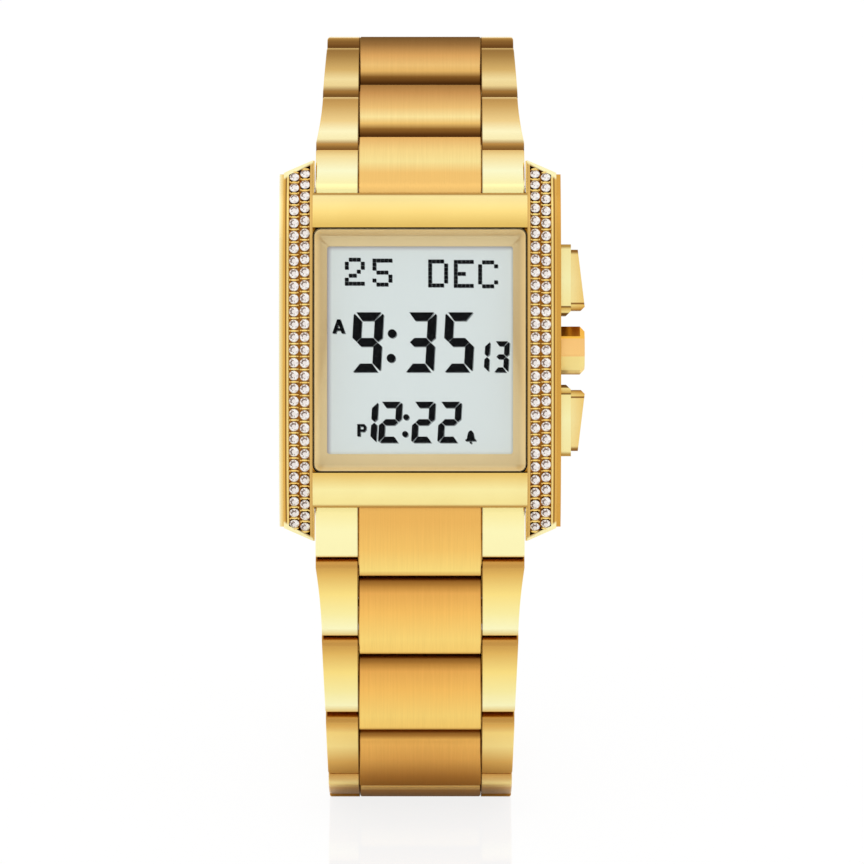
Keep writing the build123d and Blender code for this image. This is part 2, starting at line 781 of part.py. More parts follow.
def side_outline(pitch, near_half, far_half, hollow):
    """Plan outline (x, z) of one side of a link, out to its tapering side face."""
    start, end = -2 * link_outer, 2 * pitch
    slope = (far_half - near_half) / pitch
    begin = near_half if hollow else near_half + slope * start
    corners = ((start, begin), (end, near_half + slope * end))
    inner = centre_half + centre_gap
    if hollow:
        middle = (pitch / 2, (near_half + far_half) / 2 - flare_depth)
        hollow_arc = ThreePointArc((0, near_half), middle, (pitch, far_half))
        side = [Line((start, near_half), (0, near_half)), hollow_arc, Line((pitch, far_half), (end, far_half))]
        corners = ((start, near_half), (end, far_half))
    else:
        side = [Line(*corners)]
    rest = Polyline(corners[1], (end, inner), (start, inner), corners[0])
    return face_of(side + [rest])


def soften_sides(piece, sides):
    """Break the long outer edges of a link piece."""
    floor = link_outer - bulge_height - side_bevel
    long = piece.edges().filter_by(
        lambda edge: abs((edge @ 1 - edge @ 0).X) > end_link_pitch / 3 and (edge @ 0.5).Y > floor)
    return chamfer(long.sort_by(Axis.Z)[-sides:], side_bevel)


def make_link(pitch, near_half, far_half, is_end, hollow, bulge, relief):
    """Centre piece, two outer pieces and two pins of one link."""
    wide = max(near_half, far_half) + 1
    centre = lateral(tongue_outline(pitch, is_end, bulge), -centre_half, centre_half)
    centre = soften_sides(centre, 2)
    plan = side_outline(pitch, near_half, far_half, hollow)
    plan = extrude(Rot(X=90) * plan, amount=4 * link_outer, both=True, dir=(0, 1, 0))
    arm = lateral(arm_outline(pitch, is_end, bulge, relief), centre_half + centre_gap, wide) & plan
    arm = soften_sides(arm, 1)
    fixing_at = pitch / 2
    near_hole = spring_bar_radius if is_end else pin_radius
    clearance = pin_clearance if is_end else 0.0
    near_cut = bar_across(near_hole + clearance, wide)
    fixing_cut = bar_across(fixing_radius, wide, fixing_at)
    far_cut = bar_across(pin_radius + pin_clearance, wide, pitch)
    centre = centre - fixing_cut - far_cut
    if is_end:
        centre -= near_cut
    arm = arm - near_cut - fixing_cut
    mid_half = (near_half + far_half) / 2 - (flare_depth if hollow else 0.0)
    solids = [centre] + both_sides(arm) + [bar_across(fixing_radius, mid_half - pin_inset, fixing_at)]
    if not is_end:
        solids.append(bar_across(pin_radius, near_half - pin_inset))
    return solids


def chain_links(pins, angles, up, flat_links=(), relief_last=0.0):
    """All links of one chain, each as a list of placed solids."""
    links = []
    halves = [end_half_width, end_half_width] + later_half_widths
    for index, angle in enumerate(angles):
        near_half = halves[min(index, len(halves) - 1)]
        far_half = halves[min(index + 1, len(halves) - 1)]
        is_end = index == 0
        relief = relief_last if index == len(angles) - 1 else 0.0
        bulge = 0.0 if index + 1 in flat_links else bulge_height
        pitch = end_link_pitch if is_end else link_pitch
        solids = make_link(pitch, near_half, far_half, is_end, index == 1, bulge, relief)
        place = chain_plane(pins[index], angle, up).location
        links.append([place * solid for solid in solids])
    return links


# ---------------------------------------------------------------- clasp
fold_at = clasp_length - fold_from_end
skin_low = link_outer - cover_skin


def block(x0, x1, y0, y1, z0, z1):
    """Box between corners in the clasp frame."""
    return Pos((x0 + x1) / 2, (y0 + y1) / 2, (z0 + z1) / 2) * Box(x1 - x0, y1 - y0, z1 - z0)


def cover_side_outline():
    """Side outline of the cover's walls, round at both hinge ends."""
    near = -link_inner
    end = fold_at + knuckle_radius + hinge_gap
    step = fold_at / 2
    low = fold_height - knuckle_radius
    edges = [Line((near, link_outer), (end, link_outer)), Line((end, link_outer), (end, fold_height)),
             arc_about((end - knuckle_radius, fold_height), (end, fold_height), (end - knuckle_radius, low)),
             Polyline((end - knuckle_radius, low), (step, low), (step, -link_inner), (0, -link_inner)),
             arc_about((0, 0), (0, -link_inner), (near, 0)), Line((near, 0), (near, link_outer))]
    return soften(face_of(edges), near, end)


def cover_skin_outline():
    """Side outline of the cover's skin, soft at its near end."""
    near = link_inner + hinge_gap
    far = fold_at - cover_skin_before_hinge
    inner = near + near_round
    shoulder = link_outer - near_round
    bend = arc_about((inner, shoulder), (near, shoulder), (inner, link_outer))
    rest = Polyline((inner, link_outer), (far, link_outer), (far, skin_low), (inner, skin_low),
                    (inner, shoulder), (near, shoulder))
    return face_of([bend, rest])


def make_cover():
    """Folded cover: skin, two walls and the arms that hold its hinge pin."""
    outline = cover_side_outline()
    wall = lateral(outline, cover_half_width - cover_wall, cover_half_width)
    arm = lateral(outline, centre_half + centre_gap, cover_half_width)
    arm &= block(-link_pitch, cover_arm_end, -link_pitch, link_pitch, 0, link_pitch * 2)
    half = cover_half_width - cover_wall / 2
    cover = lateral(cover_skin_outline(), -half, half)
    for piece in both_sides(wall) + both_sides(arm):
        cover += piece
    cover -= bar_across(pin_radius, cover_half_width + 1)
    return cover - bar_across(fold_pin_radius, cover_half_width + 1, fold_at, fold_height)


def make_middle_blade():
    """Two rails with a knuckle at each end, joined by a raised web."""
    rail = block(blade_hinge_at, fold_at, rail_low, web_high, rail_inner, rail_outer)
    for at, height in ((blade_hinge_at, blade_hinge_height), (fold_at, fold_height)):
        middle = Pos(at, height, (rail_inner + rail_outer) / 2)
        rail += middle * Cylinder(knuckle_radius, rail_outer - rail_inner)
    web = block(blade_hinge_at + web_margin, fold_at - web_margin, web_low, web_high,
                -rail_inner - fold_clearance, rail_inner + fold_clearance)
    blade = rail + web + mirror(rail, Plane.XY)
    blade -= bar_across(fold_pin_radius, cover_half_width, blade_hinge_at, blade_hinge_height)
    return blade - bar_across(fold_pin_radius + fold_clearance, cover_half_width, fold_at, fold_height)


def make_inner_blade():
    """Long plate with a knuckle at one end and a forked cross bar at the other."""
    bar_far = clasp_length - end_bar_from_pin
    bar_near = bar_far - end_bar_width
    plate_end = (bar_near + bar_far) / 2
    blade = block(blade_hinge_at, plate_end, inner_low, inner_high, -inner_half_width, inner_half_width)
    knuckle_half = rail_inner - blade_side_gap
    blade += bar_across(knuckle_radius, knuckle_half, blade_hinge_at, blade_hinge_height)
    blade += block(bar_near, bar_far, end_bar_low, end_bar_high, -end_arm_outer, end_arm_outer)
    for side in (-1, 1):
        z0, z1 = sorted((side * end_arm_inner, side * end_arm_outer))
        blade += block(bar_near, clasp_length, end_bar_low, end_bar_high, z0, z1)
        blade += Pos(clasp_length, 0, (z0 + z1) / 2) * Cylinder(end_arm_radius, z1 - z0)
    blade -= bar_across(fold_pin_radius + fold_clearance, cover_half_width, blade_hinge_at, blade_hinge_height)
    return blade - bar_across(end_bar_radius, cover_half_width, clasp_length)


# ---------------------------------------------------------------- assembly
def write(name, solids, place=Location()):
    """One STEP file for one node."""
    flat = [solid for item in solids for solid in (place * item).solids()]
    export_step(Compound(children=flat), f"parts/{name}.step")


def write_case():
    write("case_middle", [make_case()], case_place)
    for name, side in (("left", -1), ("right", 1)):
        write(f"flank_{name}", [make_flank(side)], case_place)
        write(f"stones_{name}", make_stones(side), case_place)
    write("crystal", [make_crystal()], case_place)
    write("crystal_gasket", [ring(crystal_width, crystal_height, crystal_corner, gasket_wall,
                                  gasket_below_face, crystal_thickness)], case_place)
    write("dial_frame", [make_dial_frame()], case_place)
    write("lcd_panel", [slab(lcd_width, lcd_height, window_corner, lcd_front, lcd_back)], case_place)
    write("backlight_panel", [slab(backlight_width, backlight_height, window_corner,
                                   backlight_front, backlight_back)], case_place)
    write("connector_strips", make_strips(), case_place)
    write("module_frame", [make_module_frame()], case_place)
    write("circuit_board", make_board(), case_place)
    write("battery", [deep(Pos(0, battery_at) * Circle(battery_radius), board_back, clip_front)], case_place)
    write("battery_clip", [make_battery_clip()], case_place)
    write("buzzer", [deep(Pos(0, chip_at) * Circle(buzzer_radius), back_plane - buzzer_thickness,
                          back_plane)], case_place)
    write("case_back", [make_case_back()], case_place)
    write("case_back_gasket", [ring(back_seal_width, back_seal_height, back_seal_corner, back_seal_wall,
                                    back_plane - back_seal_depth, back_plane)], case_place)
    write("case_back_screws", make_screws(), case_place)


def write_pushers():
    write("pusher_guards", [make_guard(1), make_guard(-1)], case_place)
    write("pusher_top", make_pusher(1), case_place)
    write("pusher_bottom", make_pusher(-1), case_place)
    write("centre_button", make_centre_button(), case_place)
    for name, z in zip(("top", "bottom", "centre"), stem_heights):
        write(f"pusher_spring_{name}", [make_spring(z)], case_place)
    write("pusher_seals", [make_seal(z) for z in stem_heights], case_place)


def write_bracelet():
    write("spring_bar_upper", [make_spring_bar(1)], case_place)
    write("spring_bar_lower", [make_spring_bar(-1)], case_place)
    for number, solids in enumerate(chain_links(upper_pins, upper_angles, 1), 1):
        write(f"upper_link_{number}", solids)
    flat_links = (standing_link, standing_link + 1)
    lower = chain_links(lower_pins, lower_angles, -1, flat_links, last_link_relief)
    for number, solids in enumerate(lower, 1):
        write(f"lower_link_{number}", solids)


def write_clasp():
    place = chain_plane(upper_pins[-1], clasp_angle, 1).location
    write("clasp_cover", [make_cover()], place)
    write("clasp_middle_blade", [make_middle_blade()], place)
    write("clasp_inner_blade", [make_inner_blade()], place)
    write("cover_pivot_pin", [bar_across(pin_radius, cover_half_width - pin_inset)], place)
    hinge_pin = bar_across(fold_pin_radius, cover_half_width - pin_inset, fold_at, fold_height)
    blade_pin = bar_across(fold_pin_radius, rail_outer, blade_hinge_at, blade_hinge_height)
    write("cover_hinge_pin", [hinge_pin], place)
    write("blade_hinge_pin", [blade_pin], place)
    write("clasp_spring_bar", [bar_across(pin_radius, centre_half - pin_clearance, clasp_length)], place)


os.makedirs("parts", exist_ok=True)
write_case()
write_pushers()
write_bracelet()
write_clasp()
print("clasp", round(clasp_length, 3), round(clasp_angle, 2))
print("lower pins", [(round(y, 2), round(z, 2)) for y, z in lower_pins])
print("upper pins", [(round(y, 2), round(z, 2)) for y, z in upper_pins])
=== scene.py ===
# %% [markdown]
# # A gold digital wristwatch
#
# The watch stands on its closed link bracelet. Its solid parts come from a CAD model, which is
# brought in as a fixed frame. This lesson dresses that frame: it gives each part its finish, sets
# cut stones along the sides of the case, and draws the figures on the liquid crystal display.

# %% Bring in the frame
import json
import math

import bmesh
import bpy
from mathutils import Matrix, Vector

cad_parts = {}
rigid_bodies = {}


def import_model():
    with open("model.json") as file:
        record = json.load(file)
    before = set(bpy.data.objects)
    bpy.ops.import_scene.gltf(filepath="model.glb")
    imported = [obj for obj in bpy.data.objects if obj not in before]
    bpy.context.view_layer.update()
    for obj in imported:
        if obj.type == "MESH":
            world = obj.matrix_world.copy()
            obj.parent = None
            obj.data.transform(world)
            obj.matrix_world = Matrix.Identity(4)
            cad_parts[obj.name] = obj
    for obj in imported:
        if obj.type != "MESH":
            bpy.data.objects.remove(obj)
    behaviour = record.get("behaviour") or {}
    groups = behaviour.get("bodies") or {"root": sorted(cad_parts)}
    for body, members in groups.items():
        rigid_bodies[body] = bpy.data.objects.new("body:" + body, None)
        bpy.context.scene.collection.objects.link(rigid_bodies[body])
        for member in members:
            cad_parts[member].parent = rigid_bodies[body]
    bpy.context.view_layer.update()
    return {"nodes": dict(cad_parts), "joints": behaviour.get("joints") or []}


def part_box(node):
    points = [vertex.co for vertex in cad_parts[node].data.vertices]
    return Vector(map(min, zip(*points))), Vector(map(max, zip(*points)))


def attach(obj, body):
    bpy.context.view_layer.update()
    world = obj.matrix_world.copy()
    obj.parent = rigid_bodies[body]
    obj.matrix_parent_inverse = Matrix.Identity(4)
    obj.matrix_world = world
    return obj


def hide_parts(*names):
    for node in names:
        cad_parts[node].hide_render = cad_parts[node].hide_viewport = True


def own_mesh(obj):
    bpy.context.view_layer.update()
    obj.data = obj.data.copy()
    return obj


for leftover in list(bpy.data.objects):
    bpy.data.objects.remove(leftover)
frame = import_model()
nodes = frame["nodes"]

# %% [markdown]
# ## The frame of the case
#
# The case leans back by 12 degrees, so its dial is easiest to work on in a frame of its own: x to
# the right, y into the case and z up along the dial, in millimetres. One matrix takes a finished
# mesh from there to its place. The display panel is symmetric about the middle of the case, which
# makes the middle of its box a good point to measure from.

# %% The matrix of the case
LEAN = math.radians(12.0)
PANEL_MIDDLE = Vector((0.0, 2.4, 0.0))  # the display panel in the case frame, in mm
MM = 0.001

turn_and_shrink = Matrix.Rotation(-LEAN, 4, "X") @ Matrix.Scale(MM, 4)
panel_low, panel_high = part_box("lcd_panel")
case_origin = (panel_low + panel_high) / 2 - turn_and_shrink @ PANEL_MIDDLE
case_matrix = Matrix.Translation(case_origin) @ turn_and_shrink
print("case origin in mm:", [round(v / MM, 3) for v in case_origin])

# %% [markdown]
# ## Colours
#
# Colours are easiest to judge on a screen, where they run from 0 to 255. Shaders take linear
# light, so one small function converts them.

# %% Screen colours to linear light
WHITE = (1.0, 1.0, 1.0, 1.0)  # linear light


def screen(red, green, blue):
    """A screen colour, 0 to 255, as the linear colour that a shader takes."""
    linear = []
    for level in (red / 255, green / 255, blue / 255):
        linear.append(level / 12.92 if level <= 0.04045 else ((level + 0.055) / 1.055) ** 2.4)
    return (*linear, 1.0)


print("middle gold as linear light:", [round(v, 3) for v in screen(246, 206, 112)])

# %% [markdown]
# ## Small tools for shader nodes
#
# Every finish below is procedural: it is made from the position on the object, so it needs no
# picture and no unwrapping. These helpers keep the node trees short to write. One fills an input,
# one adds a node to the tree that another node or socket is in, and the others build on those.

# %% Shader helpers
RELIEF_DEPTH = 0.00002  # m, how deep hairlines, streaks and grain look
MOST_NOISE = (0.3, 0.7)  # nearly all of a soft noise lies between these
MOST_STREAKS = (0.25, 0.75)


def feed(node, key, value):
    """Give an input, by name or number, a plain value or the socket that it follows."""
    if isinstance(value, bpy.types.NodeSocket):
        node.id_data.links.new(value, node.inputs[key])
    else:
        node.inputs[key].default_value = value


def add(near, kind, inputs=(), **settings):
    """A new node, with its settings and inputs, in the tree that a node or socket is in."""
    node = near.id_data.nodes.new(kind)
    for name, value in settings.items():
        setattr(node, name, value)
    for key, value in dict(inputs).items():
        feed(node, key, value)
    return node


def socket_of(*values):
    """The first socket among some values; a new node goes into its tree."""
    return next(value for value in values if isinstance(value, bpy.types.NodeSocket))


def shader_of(material):
    return material.node_tree.nodes["Principled BSDF"]


def new_material(name, colour, metallic, roughness, more=()):
    """A material and its Principled shader."""
    material = bpy.data.materials.new(name)
    material.use_nodes = True
    material.diffuse_color = colour
    values = {"Base Color": colour, "Metallic": metallic, "Roughness": roughness, **dict(more)}
    for key, value in values.items():
        feed(shader_of(material), key, value)
    return material, shader_of(material)


def position(near, stretch=(1.0, 1.0, 1.0), origin=(0.0, 0.0, 0.0), turn=(0.0, 0.0, 0.0)):
    """Object coordinates, moved to an origin, turned, then stretched."""
    place = add(near, "ShaderNodeMapping", {
        "Vector": add(near, "ShaderNodeTexCoord").outputs["Object"], "Location": origin,
        "Rotation": turn}, vector_type="TEXTURE")
    return add(near, "ShaderNodeVectorMath", {0: place.outputs["Vector"], 1: stretch},
               operation="MULTIPLY").outputs["Vector"]


def noise(vector, scale, detail=2.0):
    return add(vector, "ShaderNodeTexNoise",
               {"Vector": vector, "Scale": scale, "Detail": detail}).outputs["Fac"]


def maths(operation, first, second=0.0):
    return add(socket_of(first, second), "ShaderNodeMath", {0: first, 1: second},
               operation=operation).outputs["Value"]


def size_of(value):
    return maths("ABSOLUTE", value)


def remap(value, low, high, to_low=0.0, to_high=1.0):
    """A value moved from one range to another and held inside it."""
    return add(value, "ShaderNodeMapRange", {
        "Value": value, "From Min": low, "From Max": high, "To Min": to_low,
        "To Max": to_high}).outputs["Result"]


def ramp(value, stops, to_linear=screen):
    """A colour ramp; each stop is a position and the numbers of a colour."""
    node = add(value, "ShaderNodeValToRGB", {"Fac": value})
    elements = node.color_ramp.elements
    while len(elements) < len(stops):
        elements.new(1.0)
    for element, (at, *colour) in zip(elements, stops):
        element.position = at
        element.color = to_linear(*colour)
    return node.outputs["Color"]


def blend(factor, first, second, mode="MIX"):
    """Two colours mixed; each may be a socket or a plain colour."""
    return add(socket_of(factor, first, second), "ShaderNodeMix",
               {"Factor": factor, 6: first, 7: second}, data_type="RGBA",
               blend_type=mode).outputs[2]


def split(vector):
    """The x, y and z of a vector."""
    return add(vector, "ShaderNodeSeparateXYZ", {"Vector": vector}).outputs[:]


def relief(shader, height, strength):
    """Bump from a height value."""
    bump = add(shader, "ShaderNodeBump",
               {"Strength": strength, "Distance": RELIEF_DEPTH, "Height": height})
    feed(shader, "Normal", bump.outputs["Normal"])


print("shader helpers ready")

# %% [markdown]
# ## Gold finishes of the case
#
# The middle case, its hoods, the flank plates and the pushers are polished gold plating. Polished
# metal is never quite even: hairlines from wiping vary its gloss a little. A stretched noise
# drives the roughness and a very low relief, so that highlights break up as they do on real
# plating. Broad shading is laid over that as a ramp along one direction of the case.

# %% Polished gold
EDGE_TINT = (1.0, 0.86, 0.6, 1.0)  # plating seen at a flat angle
CASE_TURN = (-LEAN, 0.0, 0.0)
HAIRLINES = (9000.0, 900.0, 260.0)  # per m: fine across the case, long up the dial
CLOUDS = 160.0
POLISHED_RELIEF = 0.015


def plating(name, colour, roughness):
    """Plated metal, paler where it is seen at a flat angle."""
    return new_material(name, colour, 1.0, roughness, {"Specular Tint": EDGE_TINT})


def polished_gold(name, colour, shade, roughness):
    """Polished plating with hairlines along the case."""
    material, shader = plating(name, colour, roughness)
    hairlines = noise(position(shader, HAIRLINES, case_origin, CASE_TURN), 1.0, 3.0)
    clouds = noise(position(shader, origin=case_origin, turn=CASE_TURN), CLOUDS)
    tone = remap(clouds, *MOST_NOISE)
    feed(shader, "Base Color", blend(tone, shade, colour))
    gloss = remap(hairlines, *MOST_NOISE, roughness * 0.9, roughness * 1.1)
    feed(shader, "Roughness", gloss)
    relief(shader, hairlines, POLISHED_RELIEF)
    return material, shader


def case_place(near):
    """Position in the frame of the case: x, y and z in millimetres."""
    return split(position(near, (1 / MM, 1 / MM, 1 / MM), case_origin, CASE_TURN))


def tint(shader, factor, colour, mode="MIX"):
    """Blend a colour over what the shader already shows."""
    shown = shader.inputs["Base Color"].links[0].from_socket
    feed(shader, "Base Color", blend(factor, shown, colour, mode))


def run_ramp(value, stops):
    """A ramp whose stops are given as (value, colour) instead of (0 to 1, colour)."""
    low, high = stops[0][0], stops[-1][0]
    scaled = [((at - low) / (high - low), *colour) for at, *colour in stops]
    return ramp(remap(value, low, high), scaled)


def shade_along(shader, value, stops):
    """Multiply what the shader shows by a ramp along a value."""
    tint(shader, 1.0, run_ramp(value, stops), "MULTIPLY")


print("hairlines per m:", HAIRLINES)

# %% [markdown]
# The hoods above and below the glass carry painted highlight and shade along z, with a painted
# brown line of shade where each one turns down to the links. The side rails show only to the
# front, where the left rail takes a painted highlight and the right rail painted shade. Their
# sides keep the plain gold, so the direction that a face points in decides how much of that
# painted light or shade it takes.

# %% Gold of the middle case
RAIL_FROM = 15.6  # mm from the middle plane
RAIL_BLEND = 0.1
ASIDE, FRONTAL = 0.8, 0.6  # how far a face points sideways, from plain gold to rail colour
# Painted shade on the right rail; a painted highlight fading to shade on the left rail.
RIGHT_RAIL_SHADE = screen(216, 162, 74)
LEFT_RAIL_LIGHT_STOPS = ((-16.15, 253, 246, 214), (-15.95, 248, 226, 160), (-15.6, 232, 184, 92))
# Painted highlight and shade along the hoods, with a painted dark line of shade where each turns
# down.
HOOD_SHADE_STOPS = ((-18.15, 246, 214, 130), (-17.95, 188, 142, 70), (-17.82, 188, 142, 70),
              (-17.7, 250, 233, 157), (-16.0, 253, 240, 170), (-14.2, 234, 197, 108),
              (14.2, 226, 190, 101), (15.9, 244, 214, 130), (17.7, 252, 233, 164),
              (17.82, 176, 130, 60), (17.95, 176, 130, 60), (18.15, 246, 214, 130))

case_gold, case_shader = polished_gold("case_gold", WHITE, (0.97, 0.95, 0.92, 1.0), 0.24)
case_x, _, case_z = case_place(case_shader)
shade_along(case_shader, case_z, HOOD_SHADE_STOPS)
left_rail_light = run_ramp(case_x, LEFT_RAIL_LIGHT_STOPS)
case_normal = add(case_shader, "ShaderNodeNewGeometry").outputs["Normal"]
sideways = size_of(split(case_normal)[0])
frontal = remap(sideways, ASIDE, FRONTAL)
# Paint the rail highlight and shade only on faces that point to the front.
for side, colour in ((-1, left_rail_light), (1, RIGHT_RAIL_SHADE)):
    on_rail = remap(case_x, side * RAIL_FROM, side * (RAIL_FROM + RAIL_BLEND))
    tint(case_shader, maths("MULTIPLY", frontal, on_rail), colour)
print("hood colours:", len(HOOD_SHADE_STOPS), "stops")

# %% [markdown]
# The flank plates carry the stones in a sunken channel. The floor of a stone channel sees little
# light, so painted shade turns the colour brown between the two rims. The rims carry painted
# highlights, with a painted dark line of shade just past the outer one, and a painted highlight
# keeps the slanted ends of the channel bright.

# %% Flank gold
CHANNEL_INNER, CHANNEL_OUTER = 12.62, 15.05  # mm from the middle plane
RIM_EDGE = 15.3
END_SLANT = 0.573  # the ends are cut back by this much per mm of width
TIP_BLEND = 0.3
CHANNEL_END = 28.5  # height plus slant at which the floor turns up
# Painted highlights on the rims, painted shade on the channel floor and just past the outer rim.
RIM_SHADE_STOPS = ((12.3, 206, 164, 92), (CHANNEL_INNER, 226, 186, 108),
             (CHANNEL_INNER + 0.02, 150, 96, 32), (CHANNEL_OUTER - 0.02, 150, 96, 32),
             (CHANNEL_OUTER, 250, 224, 146), (RIM_EDGE - 0.04, 244, 208, 122),
             (RIM_EDGE, 128, 82, 30), (RIM_EDGE + 0.1, 140, 92, 36),
             (RIM_EDGE + 0.16, 226, 178, 88), (15.8, 222, 172, 84))

flank_gold, flank_shader = polished_gold("flank_gold", WHITE, (0.96, 0.94, 0.9, 1.0), 0.2)
flank_x, _, flank_z = case_place(flank_shader)
from_middle = size_of(flank_x)
shade_along(flank_shader, from_middle, RIM_SHADE_STOPS)
towards_tip = maths("ADD", size_of(flank_z),
                    maths("MULTIPLY", from_middle, END_SLANT))
# Painted highlight on the slanted ends of the channel.
tip_highlight = remap(towards_tip, CHANNEL_END, CHANNEL_END + TIP_BLEND)
tint(flank_shader, tip_highlight, screen(255, 246, 190))
setting_gold, _ = polished_gold("setting_gold", screen(255, 230, 146), screen(250, 208, 116),
                                0.4)
print("channel between", CHANNEL_INNER, "and", CHANNEL_OUTER, "mm")

# %% [markdown]
# Each pusher is a cap that slides in front of a fixed guard. Their faces are flat and pale, with
# painted highlights, and their ends towards the middle button turn away from the light, so
# painted shade lies on those in bands. The button itself has eight sides; its lower sides carry
# a painted highlight and painted shade makes its upper sides darker.

# %% Pusher gold
# Painted highlight and shade in bands along the height of guard, cap and button.
GUARD_SHADE_STOPS = ((3.9, 92, 60, 22), (4.25, 120, 82, 32), (4.35, 250, 226, 146), (4.85, 214, 172, 88),
               (4.95, 134, 96, 44), (5.05, 134, 96, 44), (5.12, 252, 236, 164),
               (8.0, 254, 246, 184), (11.6, 252, 238, 170), (11.9, 190, 150, 76))
CAP_SHADE_STOPS = ((4.5, 120, 80, 30), (4.75, 206, 160, 80), (5.2, 250, 224, 140), (5.35, 150, 106, 48),
             (5.45, 150, 106, 48), (5.5, 252, 232, 160), (8.0, 252, 234, 166),
             (11.0, 250, 226, 152), (11.3, 150, 108, 52))
BUTTON_SHADE_STOPS = ((-2.7, 170, 124, 60), (-2.5, 250, 250, 242), (-0.75, 250, 250, 242),
                (-0.65, 252, 226, 212), (1.3, 250, 220, 206), (1.4, 252, 214, 130),
                (2.7, 250, 200, 110))
CAP_DEEPEST = 0.6
CAP_FROM, CAP_TO = 17.2, 18.9  # mm from the middle plane, where a cap gets deeper

pusher_finishes = {}
for name, stops in (("guard_gold", GUARD_SHADE_STOPS), ("cap_gold", CAP_SHADE_STOPS)):
    material, shader = polished_gold(name, WHITE, (0.98, 0.97, 0.95, 1.0), 0.24)
    out, _, height = case_place(shader)
    shade_along(shader, size_of(height), stops)
    pusher_finishes[name] = material
    # The outer end of each cap is painted darker.
    if name == "cap_gold":
        outer = remap(out, CAP_FROM, CAP_TO, 0.0, CAP_DEEPEST)
        tint(shader, outer, screen(240, 200, 124), "MULTIPLY")
pusher_finishes["button_gold"], button_shader = polished_gold(
    "button_gold", screen(252, 232, 160), screen(250, 224, 148), 0.32)
shade_along(button_shader, case_place(button_shader)[2], BUTTON_SHADE_STOPS)
print("pusher finishes:", sorted(pusher_finishes))

# %% [markdown]
# ## Gold of the bracelet
#
# Each link has a satin centre piece between two polished outer pieces. Satin gold is brushed
# along the bracelet, so its streaks have to follow every link as the bracelet bends. The joints
# of the record give the hinge points, and two hinge points in a row give each link a frame of its
# own: across, along and outwards. The finish is written once in that frame and made for each
# link. The rounded near end of a piece lies in the shade of the link before it, and that shade
# is painted into its colour.

# %% Hinge points and link frames
hinges = {joint["name"]: Vector(joint["pos_m"]) for joint in frame["joints"] if "pos_m" in joint}


def chain(side, count, last_node):
    """The hinge points of one half of the bracelet, ended by the middle of its last pin."""
    pins = [hinges[f"{side}_hinge_{index}"] for index in range(1, count + 1)]
    low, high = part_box(last_node)
    last = (low + high) / 2
    return pins + [Vector((0.0, last.y, last.z))]


chains = {"lower": chain("lower", 9, "clasp_spring_bar"),
          "upper": chain("upper", 8, "cover_pivot_pin")}


def link_turn(side, start, end):
    """Euler turn of a link frame: x across, y along the chain and z outwards."""
    along = (end - start).normalized()
    across = Vector((1.0 if side == "upper" else -1.0, 0.0, 0.0))
    outwards = across.cross(along)
    return Matrix((across, along, outwards)).transposed().to_euler()


for side, pins in chains.items():
    print(side, "pitches in mm:", [round((b - a).length / MM, 2) for a, b in zip(pins, pins[1:])])

# %% [markdown]
# The links of one half look alike where they face the same way. The first link behind the case,
# and those that turn down to the floor or over the top, take light from elsewhere, so each of
# them has painted light and shade of its own. A row of stops, painted shade and highlight, runs
# from the near end of a piece to its far end.

# %% Painted light and shade along the links
CENTRE_SHADE_STOPS = {
    "lower": ((0.0, 120, 76, 30), (0.05, 142, 94, 38), (0.11, 192, 136, 62), (0.2, 234, 174, 88),
              (0.45, 250, 196, 102), (0.8, 253, 218, 124), (0.96, 250, 210, 116),
              (1.0, 190, 138, 62)),
    "upper": ((0.0, 60, 34, 12), (0.05, 96, 58, 22), (0.12, 150, 104, 46), (0.22, 240, 196, 114),
              (0.34, 255, 232, 162), (0.52, 240, 196, 122), (0.8, 206, 152, 88),
              (1.0, 160, 114, 60)),
    "upper_3": ((0.0, 50, 28, 10), (0.05, 84, 50, 18), (0.13, 136, 92, 40), (0.24, 232, 184, 106),
                (0.36, 240, 196, 122), (0.56, 222, 168, 98), (0.8, 156, 112, 62),
                (1.0, 104, 72, 38)),
    "lower_1": ((0.0, 240, 186, 98), (0.5, 248, 200, 108), (0.9, 252, 222, 130),
                (1.0, 214, 162, 80)),
    "upper_1": ((0.0, 246, 200, 118), (0.3, 252, 230, 156), (0.6, 250, 218, 142),
                (1.0, 232, 178, 102)),
    "lower_4": ((0.0, 120, 76, 30), (0.05, 166, 114, 50), (0.1, 240, 186, 98), (0.2, 250, 196, 106),
                (0.45, 240, 184, 98), (0.8, 186, 132, 64), (1.0, 156, 108, 50)),
    "lower_5": ((0.0, 190, 140, 70), (0.06, 252, 214, 136), (0.2, 253, 226, 152),
                (0.3, 204, 152, 80), (0.6, 176, 126, 62), (1.0, 170, 120, 60)),
}
